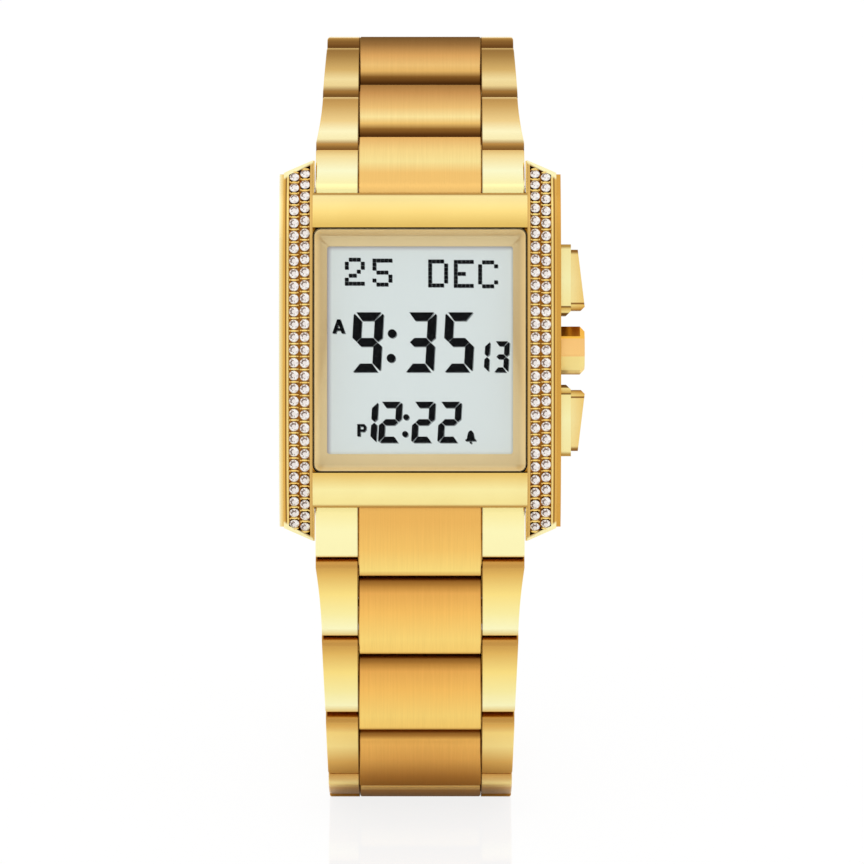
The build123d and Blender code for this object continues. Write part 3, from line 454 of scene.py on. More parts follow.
OUTER_SHADE_STOPS = {
    "lower": ((0.0, 176, 126, 58), (0.07, 198, 148, 74), (0.2, 226, 182, 96), (0.45, 251, 224, 134),
              (0.7, 251, 238, 164), (0.9, 253, 249, 196), (1.0, 226, 190, 108)),
    "upper": ((0.0, 110, 72, 32), (0.08, 176, 130, 66), (0.16, 250, 236, 180), (0.3, 255, 246, 196),
              (0.5, 240, 208, 140), (0.8, 206, 164, 96), (0.93, 190, 146, 82),
              (1.0, 246, 222, 160)),
    "upper_3": ((0.0, 96, 62, 28), (0.08, 156, 112, 54), (0.18, 238, 212, 148),
                (0.3, 244, 222, 160), (0.5, 214, 176, 106), (0.8, 168, 128, 70),
                (0.93, 150, 110, 58), (1.0, 232, 200, 132)),
    "lower_1": ((0.0, 250, 232, 152), (0.5, 253, 246, 186), (0.95, 252, 244, 184),
                (1.0, 220, 180, 96)),
    "upper_1": ((0.0, 252, 240, 170), (0.4, 253, 250, 204), (0.8, 246, 222, 156),
                (1.0, 220, 178, 104)),
    "lower_4": ((0.0, 176, 126, 58), (0.08, 222, 174, 92), (0.2, 252, 222, 136),
                (0.45, 253, 230, 150), (0.75, 226, 180, 100), (1.0, 182, 134, 66)),
    "lower_5": ((0.0, 200, 150, 78), (0.06, 253, 232, 160), (0.2, 253, 232, 160),
                (0.3, 218, 172, 96), (0.6, 184, 138, 72), (1.0, 176, 130, 66)),
}
print("links with colours of their own:", sorted(set(CENTRE_SHADE_STOPS) - {"lower", "upper"}))

# %% Satin and polished gold of one link
CENTRE_HALF = 0.00712  # m, half width of the centre piece
HINGE_HALF = 0.00105  # m, half thickness of the rounded hinge end
HINGE_GAP = 0.0001
# Painted shade: a dark line along the gap between the centre and outer pieces.
SEAM_DARK, SEAM_END = 0.00007, 0.00013  # m from the line between centre and outer pieces
SEAM_SHADE_COLOUR = screen(112, 72, 30)
FIRST_SEAM, SEAM = 0.45, 0.85  # how dark the line is on the first link and on the others
STREAK_SHARE = 0.9
LINK_STREAKS = (7000.0, 130.0, 5000.0)
BRUSHED_RELIEF = 0.08
CENTRE_ROUGHER = 0.14


def link_gold(name, side, index, start, end):
    """Satin centre and polished outer pieces of one link, in its own frame."""
    material, shader = plating(name, screen(248, 210, 118), 0.3)
    turn, reach = link_turn(side, start, end), (end - start).length
    across, along, _ = split(position(shader, origin=start, turn=turn))
    from_middle = size_of(across)
    centre = maths("LESS_THAN", from_middle, CENTRE_HALF)
    centre_run = remap(along, HINGE_HALF + HINGE_GAP, reach + HINGE_HALF)
    outer_run = remap(along, -HINGE_HALF, reach - HINGE_HALF - HINGE_GAP)
    # Painted shade and highlight along each piece, from the tables above.
    outer_shading, centre_shading = (ramp(run, table.get(f"{side}_{index}", table[side]))
                               for run, table in ((outer_run, OUTER_SHADE_STOPS),
                                                  (centre_run, CENTRE_SHADE_STOPS)))
    tone = blend(centre, outer_shading, centre_shading)
    # Painted dark line of shade along the gap between the centre and outer pieces.
    from_seam = size_of(maths("SUBTRACT", from_middle, CENTRE_HALF))
    seam = remap(from_seam, SEAM_END, SEAM_DARK, 0.0, FIRST_SEAM if index == 1 else SEAM)
    tone = blend(seam, tone, SEAM_SHADE_COLOUR)
    streaks = noise(position(shader, LINK_STREAKS, start, turn), 1.0, 4.0)
    fine = remap(streaks, *MOST_STREAKS)
    streak_tone = blend(fine, (0.92, 0.9, 0.87, 1.0), WHITE)
    shaded = blend(maths("MULTIPLY", centre, STREAK_SHARE), tone, streak_tone, "MULTIPLY")
    feed(shader, "Base Color", shaded)
    gloss = maths("ADD", maths("MULTIPLY", centre, CENTRE_ROUGHER),
                  remap(streaks, *MOST_STREAKS, 0.17, 0.23))
    feed(shader, "Roughness", gloss)
    relief(shader, streaks, BRUSHED_RELIEF)
    return material


link_materials = {}
for side, pins in chains.items():
    for index, (start, end) in enumerate(zip(pins, pins[1:]), 1):
        name = f"{side}_link_{index}"
        link_materials[name] = link_gold(f"{name}_gold", side, index, start, end)
print("link finishes:", len(link_materials))

# %% [markdown]
# The folding clasp is brushed along its length as well, but evenly, without separate pieces.

# %% Clasp gold
CLASP_STREAKS = (8000.0, 120.0, 5000.0)

clasp_start, clasp_end = chains["upper"][-1], chains["lower"][-1]
clasp_turn = link_turn("upper", clasp_start, clasp_end)
clasp_gold, clasp_shader = plating("clasp_gold", screen(246, 208, 124), 0.3)
brushing = noise(position(clasp_shader, CLASP_STREAKS, clasp_start, clasp_turn), 1.0, 4.0)
clasp_tone = remap(brushing, *MOST_STREAKS)
feed(clasp_shader, "Base Color",
     blend(clasp_tone, screen(226, 182, 98), screen(250, 216, 134)))
feed(clasp_shader, "Roughness", remap(brushing, *MOST_STREAKS, 0.24, 0.36))
relief(clasp_shader, brushing, BRUSHED_RELIEF)
print("clasp length in mm:", round((clasp_end - clasp_start).length / MM, 2))

# %% [markdown]
# ## Plain parts
#
# Behind the dial sit the parts of the module. Each has a simple finish: a colour, a roughness,
# and a fine grain that keeps it from looking like flat paint. The grain is even on most parts. It
# is stretched on turned steel, on the striped connector rubber and on the drawn battery can.

# %% Steel, rubber, plastic and board
EVEN_GRAIN = (900.0, 900.0, 900.0)


def grained(name, colour, metallic, roughness, stretch=EVEN_GRAIN, depth=0.12, grain=0.1):
    """A plain finish with a fine grain in its colour, gloss and relief."""
    colour = screen(*colour)
    material, shader = new_material(name, colour, metallic, roughness)
    speckle = noise(position(shader, stretch), 1.0, 3.0)
    dark = tuple(level * (1.0 - grain) for level in colour[:3]) + (1.0,)
    feed(shader, "Base Color", blend(speckle, dark, colour))
    gloss = remap(speckle, *MOST_NOISE, roughness * 0.85, min(1.0, roughness * 1.15))
    feed(shader, "Roughness", gloss)
    relief(shader, speckle, depth)
    return material


plain = {values[0]: grained(*values) for values in (
    ("hardware_steel", (206, 206, 208), 1.0, 0.25, (300.0, 6000.0, 6000.0)),
    ("seal_rubber", (28, 26, 26), 0.0, 0.6),
    ("crystal_seal", (226, 206, 160), 0.0, 0.6),
    ("backlight", (222, 228, 220), 0.0, 0.5),
    ("strip_rubber", (150, 126, 150), 0.0, 0.6, (9000.0, 300.0, 300.0)),
    ("module_plastic", (38, 38, 40), 0.0, 0.45),
    ("board", (24, 88, 52), 0.0, 0.35, (1500.0, 1500.0, 1500.0)),
    ("battery_can", (214, 214, 212), 1.0, 0.28, (4000.0, 4000.0, 400.0)),
    ("buzzer_brass", (224, 188, 110), 1.0, 0.3, (3000.0, 3000.0, 3000.0)),
    ("dial_mask", (217, 196, 146), 0.0, 0.55, (2600.0, 2600.0, 2600.0), 0.1, 0.04),
)}
print("plain finishes:", sorted(plain))

# %% [markdown]
# The dial mask lies in a well under the glass, where walls close by keep light out. A faint glow
# of its own colour makes up for that, and grows towards the walls. A dark line is printed along
# its outer edge. Both follow the distance to the rounded outline of the glass.

# %% Glow and outline of the dial mask
GLASS_HALF_WIDTH, GLASS_HALF_HEIGHT, GLASS_CORNER = 12.15, 13.9, 0.8
GLOW_REACH = 1.3  # mm from the outline, where the glow begins to grow
LINE_FROM, LINE_TO = -0.07, -0.04  # mm past the outline, where the line starts and is full
GLOW_STOPS = ((0.0, 72, 64, 46), (0.4, 92, 82, 60), (0.7, 136, 122, 88), (1.0, 158, 142, 104))


def inside_outline(near):
    """Distance to the rounded outline of the glass in millimetres, negative inside it."""
    x, _, z = case_place(near)
    past = []
    for value, half in ((x, GLASS_HALF_WIDTH), (z, GLASS_HALF_HEIGHT)):
        over = maths("SUBTRACT", size_of(value), half - GLASS_CORNER)
        past.append(maths("POWER", maths("MAXIMUM", over, 0.0), 2.0))
    return maths("SUBTRACT", maths("SQRT", maths("ADD", *past)), GLASS_CORNER)


mask_shader = shader_of(plain["dial_mask"])
to_wall = inside_outline(mask_shader)
glow = ramp(remap(to_wall, -GLOW_REACH, 0.0), GLOW_STOPS)
dark_line = remap(to_wall, LINE_FROM, LINE_TO)
feed(mask_shader, "Emission Color", blend(dark_line, glow, (0.0, 0.0, 0.0, 1.0)))
feed(mask_shader, "Emission Strength", 1.0)
tint(mask_shader, dark_line, screen(40, 28, 16))
print("glass outline in mm:", 2 * GLASS_HALF_WIDTH, "by", 2 * GLASS_HALF_HEIGHT)

# %% [markdown]
# The seal around the crystal is moulded in the colour of the dial mask, so that no dark wall shows
# through the glass. Only its outer lip is black.

# %% The lip of the crystal seal
SEAL_LIP = 0.25  # mm behind the front of the crystal

seal_shader = shader_of(plain["crystal_seal"])
in_lip = remap(case_place(seal_shader)[1], SEAL_LIP, SEAL_LIP - 0.02)
tint(seal_shader, in_lip, screen(20, 13, 8))
feed(seal_shader, "Specular IOR Level", 0.02)
print("lip of", SEAL_LIP, "mm")

# %% [markdown]
# ## Display and glass
#
# The liquid crystal panel is a pale grey sheet. Its upper and side edges lie in the soft shadow of
# the dial mask, which is painted as a narrow gradient. The crystal over it is clear mineral
# glass: nearly all light passes, so a low alpha with a glossy surface stands for it without the
# grain that true refraction would bring.

# %% Display panel
WINDOW_HALF_WIDTH, WINDOW_HALF_HEIGHT = 10.65, 11.9
EDGE_SHADOW, RIGHT_SHADOW = 0.55, 0.3  # mm from the edges of the window
TOP_LIGHT, RIGHT_LIGHT = 0.25, 0.6  # light that is left at those edges
LCD_STOPS = ((0.0, 176, 172, 186), (0.5, 202, 208, 212), (1.0, 227, 237, 236))

lcd, lcd_shader = new_material("lcd", screen(226, 236, 235), 0.0, 0.4)
lcd_x, _, lcd_z = case_place(lcd_shader)
from_left = maths("ADD", lcd_x, WINDOW_HALF_WIDTH)
from_top = maths("SUBTRACT", WINDOW_HALF_HEIGHT, lcd_z)
from_right = maths("SUBTRACT", WINDOW_HALF_WIDTH, lcd_x)
lit = maths("MULTIPLY", remap(from_left, 0.0, EDGE_SHADOW),
            remap(from_top, 0.0, EDGE_SHADOW, TOP_LIGHT))
lit = maths("MULTIPLY", lit, remap(from_right, 0.0, RIGHT_SHADOW, RIGHT_LIGHT))
feed(lcd_shader, "Base Color", ramp(lit, LCD_STOPS))
print("window", 2 * WINDOW_HALF_WIDTH, "by", 2 * WINDOW_HALF_HEIGHT, "mm")

# %% Crystal
crystal, crystal_shader = new_material("crystal", screen(20, 28, 26), 0.0, 0.04,
                                       {"Alpha": 0.02, "IOR": 1.5})
print("crystal alpha:", round(crystal_shader.inputs["Alpha"].default_value, 3))

# %% [markdown]
# ## Give every part its finish
#
# The record that comes with the frame groups the parts by material slot. The table below says
# which parts belong to which slot, and the links take the finishes made for them one by one.

# %% Dress the CAD parts
slots = {
    "case_gold": ["case_middle", "case_back"],
    "flank_gold": ["flank_left", "flank_right"],
    "clasp_gold": ["clasp_cover", "clasp_middle_blade", "clasp_inner_blade"],
    "hardware_steel": ["case_back_screws", "pusher_spring_top", "pusher_spring_bottom",
                       "pusher_spring_centre", "spring_bar_upper", "spring_bar_lower",
                       "cover_pivot_pin", "cover_hinge_pin", "blade_hinge_pin",
                       "clasp_spring_bar", "battery_clip"],
    "seal_rubber": ["case_back_gasket", "pusher_seals"],
    "dial_mask": ["dial_frame"],
    "lcd": ["lcd_panel"],
    "backlight": ["backlight_panel"],
    "strip_rubber": ["connector_strips"],
    "module_plastic": ["module_frame"],
    "board": ["circuit_board"],
    "battery_can": ["battery"],
    "buzzer_brass": ["buzzer"],
    "crystal": ["crystal"],
}
finishes = dict(plain, case_gold=case_gold, flank_gold=flank_gold, clasp_gold=clasp_gold,
                lcd=lcd, crystal=crystal)


def dress(node, material):
    nodes[node].data.materials.clear()
    nodes[node].data.materials.append(material)


for slot_name, members in slots.items():
    for node in members:
        dress(node, finishes[slot_name])
for node, material in link_materials.items():
    dress(node, material)
dress("crystal_gasket", plain["crystal_seal"])
for node, finish in (("pusher_guards", "guard_gold"), ("pusher_top", "cap_gold"),
                     ("pusher_bottom", "cap_gold"), ("centre_button", "button_gold")):
    dress(node, pusher_finishes[finish])
print("slots:", sorted(slots))

# %% [markdown]
# The middle case has a ledge that carries the crystal. It is painted like the dial mask, so that
# both read as one frame through the glass. A second material slot does that, for the faces that
# lie between two depths and inside the opening.

# %% Paint the ledge
LEDGE_FRONT, LEDGE_BACK = 1.45, 2.35  # mm into the case
LEDGE_HALF_WIDTH, LEDGE_HALF_HEIGHT = 12.4, 14.2

case_mesh = nodes["case_middle"].data
case_mesh.materials.append(plain["dial_mask"])
to_case = case_matrix.inverted()
painted = 0
for polygon in case_mesh.polygons:
    at = to_case @ (nodes["case_middle"].matrix_world @ polygon.center)
    in_depth = LEDGE_FRONT < at.y < LEDGE_BACK
    if in_depth and abs(at.x) < LEDGE_HALF_WIDTH and abs(at.z) < LEDGE_HALF_HEIGHT:
        polygon.material_index = 1
        painted += 1
print("faces of the ledge painted:", painted)

# %% [markdown]
# ## Return springs
#
# A coil spring behind each pusher sends it back out, and shortens as the pusher goes in. A CAD part
# keeps its shape, so a merged copy of its mesh stands for each spring and rides on the case.

# %% Spring copies on the case
SAME_POINT = 1e-7  # m, corners closer than this are one


def kept(work, name):
    """A finished bmesh as a mesh."""
    mesh = bpy.data.meshes.new(name)
    work.to_mesh(mesh)
    work.free()
    return mesh


def placed(name, data):
    """A new object in the scene."""
    thing = bpy.data.objects.new(name, data)
    bpy.context.scene.collection.objects.link(thing)
    return thing


def on_case(name, mesh):
    """A mesh that is in its place as an object that rides on the case."""
    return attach(placed(name, mesh), "case")


for joint in frame["joints"]:
    for rule in joint.get("deforming_nodes", []):
        spring, seat = rule["node"], rule["fixed_end_x_m"]
        work = bmesh.new()
        work.from_mesh(nodes[spring].data)
        bmesh.ops.remove_doubles(work, verts=work.verts, dist=SAME_POINT)
        mesh = kept(work, f"{spring}_coil")
        mesh.materials.append(plain["hardware_steel"])
        mesh.shade_smooth()
        coil = on_case(f"{spring}_coil", mesh)
        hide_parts(spring)
        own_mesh(coil)

# %% [markdown]
# ## Cut stones
#
# A round brilliant has a flat table, a ring of star and kite facets, sixteen small facets at the
# girdle and a pointed underside. One stone of about fifty facets is built once. Real stones look
# lively because neighbouring facets throw back different light, so each facet stores a shade that
# the material reads.

# %% One stone
TABLE, STARS = (0.25, 0.54), (0.38, 0.49)  # radius and height of each ring in mm
GIRDLE, BASE = (0.55, 0.34), (0.34, 0.0)
TABLE_SHADE, BASE_SHADE = 0.68, 0.5
STAR_SHADES = (0.7, 0.15, 0.0, 0.0, 0.05, 0.3, 0.9, 1.0)
KITE_SHADES = (1.0, 0.35, 0.2, 0.3, 0.9, 1.0, 0.6, 1.0)
NEAR_SHADES, FAR_SHADES = (0.9, 0.6), (0.7, 1.0)  # small facets at the girdle, by turns


def ring_of(mesh, count, radius, height, offset=0.0):
    """Corners evenly round the axis; an offset of 0.5 sets them between two others."""
    angles = [2 * math.pi * (i + offset) / count for i in range(count)]
    return [mesh.verts.new((radius * math.cos(a), radius * math.sin(a), height)) for a in angles]


def cut_stone():
    """A stone with its axis along z, its base at z = 0, and a shade on each facet."""
    work = bmesh.new()
    shade = work.faces.layers.float.new("facet_shade")
    table, stars = ring_of(work, 8, *TABLE), ring_of(work, 8, *STARS, offset=0.5)
    girdle, base = ring_of(work, 16, *GIRDLE), ring_of(work, 8, *BASE)
    facets = [(table, TABLE_SHADE), (base[::-1], BASE_SHADE)]
    for i in range(8):
        j = (i + 1) % 8
        near, middle, far = girdle[2 * i], girdle[2 * i + 1], girdle[2 * j]
        facets += [((table[i], stars[i], table[j]), STAR_SHADES[i]),
                   ((table[j], stars[i], far, stars[j]), KITE_SHADES[i]),
                   ((near, middle, stars[i]), NEAR_SHADES[i % 2]),
                   ((middle, far, stars[i]), FAR_SHADES[i % 2]),
                   ((base[i], middle, near), BASE_SHADE),
                   ((base[i], base[j], far, middle), BASE_SHADE)]
    for corners, value in facets:
        work.faces.new(corners)[shade] = value
    bmesh.ops.recalc_face_normals(work, faces=work.faces)
    return kept(work, "cut_stone")


stone_mesh = cut_stone()
print("facets of one stone:", len(stone_mesh.polygons))

# %% Finish of the stones
STONE_STOPS = ((0.0, 70, 46, 34), (0.35, 170, 148, 136), (0.7, 246, 238, 232), (1.0, 255, 254, 252))

stone_glass, stone_shader = new_material("stones", screen(240, 236, 238), 0.1, 0.12, {"IOR": 1.6})
facet = add(stone_shader, "ShaderNodeAttribute", attribute_name="facet_shade").outputs["Fac"]
feed(stone_shader, "Base Color", ramp(facet, STONE_STOPS))
print("stone shades:", len(STONE_STOPS))

# %% [markdown]
# Small bars of gold cross the channel before, between and after the stones. Beads are raised
# beside the gaps between two stones and pushed over them to hold them. Bar and bead both start as
# a low ball that is scaled.

# %% Gold bar and bead
BAR_SIZE = (1.25, 0.42, 0.9)  # mm across the channel, along it and out of it
BEAD_SIZE = (0.34, 0.34, 1.02)


def ball(name, size, sides, rings):
    work = bmesh.new()
    bmesh.ops.create_uvsphere(work, u_segments=sides, v_segments=rings, radius=0.5)
    bmesh.ops.scale(work, vec=size, verts=work.verts)
    mesh = kept(work, name)
    mesh.shade_smooth()
    return mesh


bar_mesh = ball("gold_bar", BAR_SIZE, 10, 6)
bead_mesh = ball("gold_bead", BEAD_SIZE, 8, 5)
print("faces of a bar and a bead:", len(bar_mesh.polygons), len(bead_mesh.polygons))

# %% [markdown]
# ## Rows along the flank face
#
# The face of a flank is a long gentle arc that turns into a tighter arc at each end. A row is a
# curve at the depth of the channel floor, and Geometry Nodes set a piece at equal steps along it,
# turned to stand on the face. Stones, bars and beads all use the same tree with other inputs.

# %% Arcs of the flank face
CASE_LENGTH = 43.8
FACE_MIDDLE = -0.5
CROWN_RADIUS = 2.12 * CASE_LENGTH
END_RADIUS = 0.365 * CASE_LENGTH
CROWN_TURN = math.radians(8.0)
CHANNEL_DEPTH = 0.42
CURVE_POINTS = 200
ROWS = ((13.19, 21.05), (14.43, 20.6))  # x, and half length along the face


def on_face(run, depth):
    """The point (y, z) at a distance along the face from its middle, under it by a depth."""
    side = math.copysign(1.0, run)
    run = abs(run)
    crown_run = CROWN_RADIUS * CROWN_TURN
    end_y = FACE_MIDDLE + CROWN_RADIUS - (CROWN_RADIUS - END_RADIUS) * math.cos(CROWN_TURN)
    end_z = (CROWN_RADIUS - END_RADIUS) * math.sin(CROWN_TURN)
    if run <= crown_run:
        angle, radius = run / CROWN_RADIUS, CROWN_RADIUS - depth
        y = FACE_MIDDLE + CROWN_RADIUS - radius * math.cos(angle)
        return y, side * radius * math.sin(angle)
    angle, radius = CROWN_TURN + (run - crown_run) / END_RADIUS, END_RADIUS - depth
    return end_y - radius * math.cos(angle), side * (end_z + radius * math.sin(angle))


def row_curve(rows):
    """One curve with a straight-jointed line for each row (x, half length)."""
    curve = bpy.data.curves.new("rows", "CURVE")
    curve.dimensions = "3D"
    for x, half in rows:
        line = curve.splines.new("POLY")
        line.points.add(CURVE_POINTS - 1)
        for index, point in enumerate(line.points):
            y, z = on_face(half * (2 * index / (CURVE_POINTS - 1) - 1), CHANNEL_DEPTH)
            point.co = (x, y, z, 1.0)
    return curve


print("face depth at the end of a row in mm:", round(on_face(ROWS[0][1], 0.0)[0], 2))

# %% [markdown]
# The trees below start from named inputs, and those that set pieces end by making the instances
# real and giving them a finish. Two helpers take up those parts.

# %% Start and end of a node tree


def new_group(name, inputs, output):
    """A Geometry Nodes tree: the tree, its given sockets, their identifiers and its way out."""
    tree = bpy.data.node_groups.new(name, "GeometryNodeTree")
    ids = {}
    for label, (kind, default) in inputs.items():
        socket = tree.interface.new_socket(label, in_out="INPUT", socket_type=f"NodeSocket{kind}")
        if default is not None:
            socket.default_value = default
        ids[label] = socket.identifier
    tree.interface.new_socket(output, in_out="OUTPUT", socket_type="NodeSocketGeometry")
    given = add(tree, "NodeGroupInput").outputs
    way_out = add(tree, "NodeGroupOutput").inputs[output]
    return tree, given, ids, way_out


def send_out(tree, instances, finish, way_out):
    """Realize the instances, give them their finish and send them out."""
    real = add(tree, "GeometryNodeRealizeInstances", {"Geometry": instances})
    dressed = add(tree, "GeometryNodeSetMaterial",
                  {"Geometry": real.outputs["Geometry"], "Material": finish})
    tree.links.new(dressed.outputs["Geometry"], way_out)


print("tree helpers ready")

# %% The tree that sets pieces along a row
STONES_PER_ROW = 29
SEED = 7


def row_tree():
    """Curve in, pieces out: each stands on the face, turned about its axis by a random amount."""
    tree, given, ids, way_out = new_group("pieces_along_rows", {
        "Rows": ("Geometry", None), "Piece": ("Object", None), "Per Row": ("Int", STONES_PER_ROW),
        "Most Turn": ("Float", 0.0), "Seed": ("Int", SEED), "Finish": ("Material", None)}, "Pieces")
    points = add(tree, "GeometryNodeCurveToPoints",
                 {"Curve": given["Rows"], "Count": given["Per Row"]}, mode="COUNT").outputs
    outwards = add(tree, "ShaderNodeVectorMath", {0: (1.0, 0.0, 0.0), 1: points["Tangent"]},
                   operation="CROSS_PRODUCT").outputs["Vector"]
    stand = add(tree, "FunctionNodeAlignRotationToVector", {"Vector": outwards}, axis="Z")
    least = maths("MULTIPLY", given["Most Turn"], -1.0)
    spin = add(tree, "FunctionNodeRandomValue",
               {2: least, 3: given["Most Turn"], "Seed": given["Seed"]}, data_type="FLOAT")
    own_turn = add(tree, "FunctionNodeAxisAngleToRotation",
                   {"Axis": (0.0, 0.0, 1.0), "Angle": spin.outputs[1]})
    both = add(tree, "FunctionNodeRotateRotation",
               {"Rotation": stand.outputs["Rotation"], "Rotate By": own_turn.outputs["Rotation"]},
               rotation_space="LOCAL")
    piece = add(tree, "GeometryNodeObjectInfo", {"Object": given["Piece"]})
    instances = add(tree, "GeometryNodeInstanceOnPoints",
                    {"Points": points["Points"], "Instance": piece.outputs["Geometry"],
                     "Rotation": both.outputs["Rotation"]})
    send_out(tree, instances.outputs["Instances"], given["Finish"], way_out)
    return tree, ids


rows_tree, rows_ids = row_tree()
print("tree inputs:", list(rows_ids))

# %% [markdown]
# The evaluated result of a modifier is turned into a plain mesh, moved from the frame of the case
# to its place, and made to move with the case.

# %% Use a tree and keep its result


def settled(name, mesh):
    """A finished mesh of the case frame as an object that rides on the case."""
    mesh.name = name
    mesh.transform(case_matrix)
    return on_case(name, mesh)


def grown(name, data, tree, ids, inputs):
    """The result of a node tree on a curve or points, as a finished piece."""
    source = placed("source", data)
    modifier = source.modifiers.new("nodes", "NODES")
    modifier.node_group = tree
    for label, value in inputs.items():
        modifier[ids[label]] = value
    bpy.context.view_layer.update()
    graph = bpy.context.evaluated_depsgraph_get()
    mesh = bpy.data.meshes.new_from_object(source.evaluated_get(graph), depsgraph=graph)
    bpy.data.objects.remove(source)
    return settled(name, mesh)


print("pieces can be grown")

# %% Set both flanks
MOST_TURN = 0.7  # radians, no two stones lie quite alike
BEAD_SHIFT = 0.46  # mm, beads lie this far to both sides of a row

for side_name, side in (("left", -1), ("right", 1)):
    rows = [(side * x, half) for x, half in ROWS]
    half_step = {x: half / (STONES_PER_ROW - 1) for x, half in rows}
    around = [(x, half + half_step[x]) for x, half in rows]
    between = [(x + side * shift, half - half_step[x])
               for x, half in rows for shift in (-BEAD_SHIFT, BEAD_SHIFT)]
    for name, one, mesh, lines, count, turn, seed, finish, slot_name in (
            ("cut_stones", "stone", stone_mesh, rows, STONES_PER_ROW, MOST_TURN, SEED + side,
             stone_glass, "stones"),
            ("stone_bars", "bar", bar_mesh, around, STONES_PER_ROW + 1, 0.0, SEED,
             setting_gold, "flank_gold"),
            ("stone_beads", "bead", bead_mesh, between, STONES_PER_ROW - 1, 0.0, SEED,
             setting_gold, "flank_gold")):
        piece = grown(f"{name}_{side_name}", row_curve(lines), rows_tree, rows_ids,
                      {"Piece": bpy.data.objects.new(one, mesh), "Per Row": count,
                       "Most Turn": turn, "Seed": seed, "Finish": finish})
        if slot_name == "stones":
            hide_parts(f"stones_{side_name}")
        print(piece.name, "faces:", len(piece.data.polygons))

# %% [markdown]
# ## Figures on the display
#
# A display of this kind has three sorts of marks: figures of seven bars, letters made of dots, and
# a few small printed signs. All lie in one thin layer on the panel. They are drawn in millimetres
# on the dial, x to the right and z up.

# %% Outlines of a seven-bar figure
BARS_OF = {"1": "bc", "2": "abged", "3": "abgcd", "5": "afgcd", "9": "abcdfg"}
FIGURE_SLANT = 0.055
SOFT_CORNER = 0.25  # share of the bar that is cut off an outer corner


def figure(text, left, top, width, height, bar, gap):
    """Outlines of one figure of seven bars in a leaning box."""
    half = height / 2
    soft = SOFT_CORNER * bar
    shapes = {
        "a": [(soft + gap, 0), (width - soft - gap, 0), (width - bar - gap, bar),
              (bar + gap, bar)],
        "f": [(0, soft + gap), (0.45 * soft, soft * 0.5 + gap), (bar, bar + gap),
              (bar, half - bar / 2 - gap / 2), (bar / 2, half - gap), (0, half - bar / 2)],
        "g": [(bar / 2 + gap, half), (bar + gap, half - bar / 2),
              (width - bar - gap, half - bar / 2), (width - bar / 2 - gap, half),
              (width - bar - gap, half + bar / 2), (bar + gap, half + bar / 2)],
    }
    shapes["d"] = [(x, height - y) for x, y in reversed(shapes["a"])]
    shapes["e"] = [(x, height - y) for x, y in reversed(shapes["f"])]
    shapes["b"] = [(width - x, y) for x, y in reversed(shapes["f"])]
    shapes["c"] = [(width - x, height - y) for x, y in shapes["f"]]
    return [[(left + x + FIGURE_SLANT * (half - y), top - y) for x, y in shapes[bar_name]]
            for bar_name in BARS_OF[text]]


def disc(x, z, radius, sides=20):
    angles = [2 * math.pi * i / sides for i in range(sides)]
    return [(x + radius * math.cos(a), z - radius * math.sin(a)) for a in angles]


print("bars of a nine:", len(figure("9", 0, 0, 3.5, 6.9, 0.9, 0.09)))

# %% Place the figures
# Top, height, bar and gap of a line, then its figures (left edge, width) and its colon dots.
LINES = (
    (4.35, 6.86, 0.98, 0.05, (("9", -7.78, 3.43), ("3", -1.71, 3.43), ("5", 2.74, 3.43)),
     ((-3.21, 1.91, 0.5), (-3.33, -0.9, 0.5))),
    (1.03, 3.55, 0.56, 0.045, (("1", 6.3, 1.65), ("3", 8.42, 1.75)), ()),
    (-5.9, 4.7, 0.7, 0.045, (("1", -7.45, 2.55), ("2", -4.7, 2.55), ("2", -0.9, 2.55),
                             ("2", 2.1, 2.55)), ((-1.6, -7.66, 0.34), (-1.72, -9.6, 0.34))),
)

outlines = []
for top, height, bar, gap, figures, colon in LINES:
    for text, left, width in figures:
        outlines += figure(text, left, top, width, height, bar, gap)
    outlines += [disc(*place) for place in colon]
print("outlines so far:", len(outlines))

# %% [markdown]
# The letters A and P say morning and afternoon, and a small bell says that the alarm is on. They
# are drawn as a few straight-sided shapes each.

# %% Small signs
LETTER_A = [[(0.0, 1.6), (0.55, 0.0), (0.93, 0.0), (0.42, 1.6)],
            [(1.48, 1.6), (1.06, 1.6), (0.55, 0.0), (0.93, 0.0)],
            [(0.35, 1.0), (1.13, 1.0), (1.2, 1.28), (0.28, 1.28)]]
LETTER_P = [[(0.0, 0.0), (0.36, 0.0), (0.36, 1.4), (0.0, 1.4)],
            [(0.36, 0.0), (0.86, 0.0), (0.86, 0.28), (0.36, 0.28)],
            [(0.36, 0.6), (0.86, 0.6), (0.86, 0.88), (0.36, 0.88)],
            [(0.72, 0.02), (1.03, 0.22), (1.03, 0.66), (0.72, 0.86)]]
BELL = [[(0.15, 1.1), (0.3, 0.35), (0.5, 0.1), (0.7, 0.1), (0.9, 0.35), (1.05, 1.1)],
        [(0.0, 1.1), (1.2, 1.1), (1.2, 1.3), (0.0, 1.3)],
        [(0.45, 1.38), (0.75, 1.38), (0.68, 1.6), (0.52, 1.6)]]

for left, top, shapes in ((-10.06, 3.54, LETTER_A), (-7.2, -8.46, LETTER_P), (5.2, -9.1, BELL)):
    outlines += [[(left + x, top - y) for x, y in shape] for shape in shapes]
print("outlines:", len(outlines))

# %% [markdown]
# The marks of such a display lie in the liquid, above a mirror, so each throws a soft grey shadow
# a little down and to the right. A second, half clear layer of the same plates stands for it.

# %% Thin plates from the outlines
FIGURE_LAYER, SHADOW_LAYER = 1.825, 1.843  # mm into the case
LAYER_THICKNESS = 0.005
FIGURE_SHADOW, DOT_SHADOW = 0.1, 0.06  # mm that a shadow lies right and down


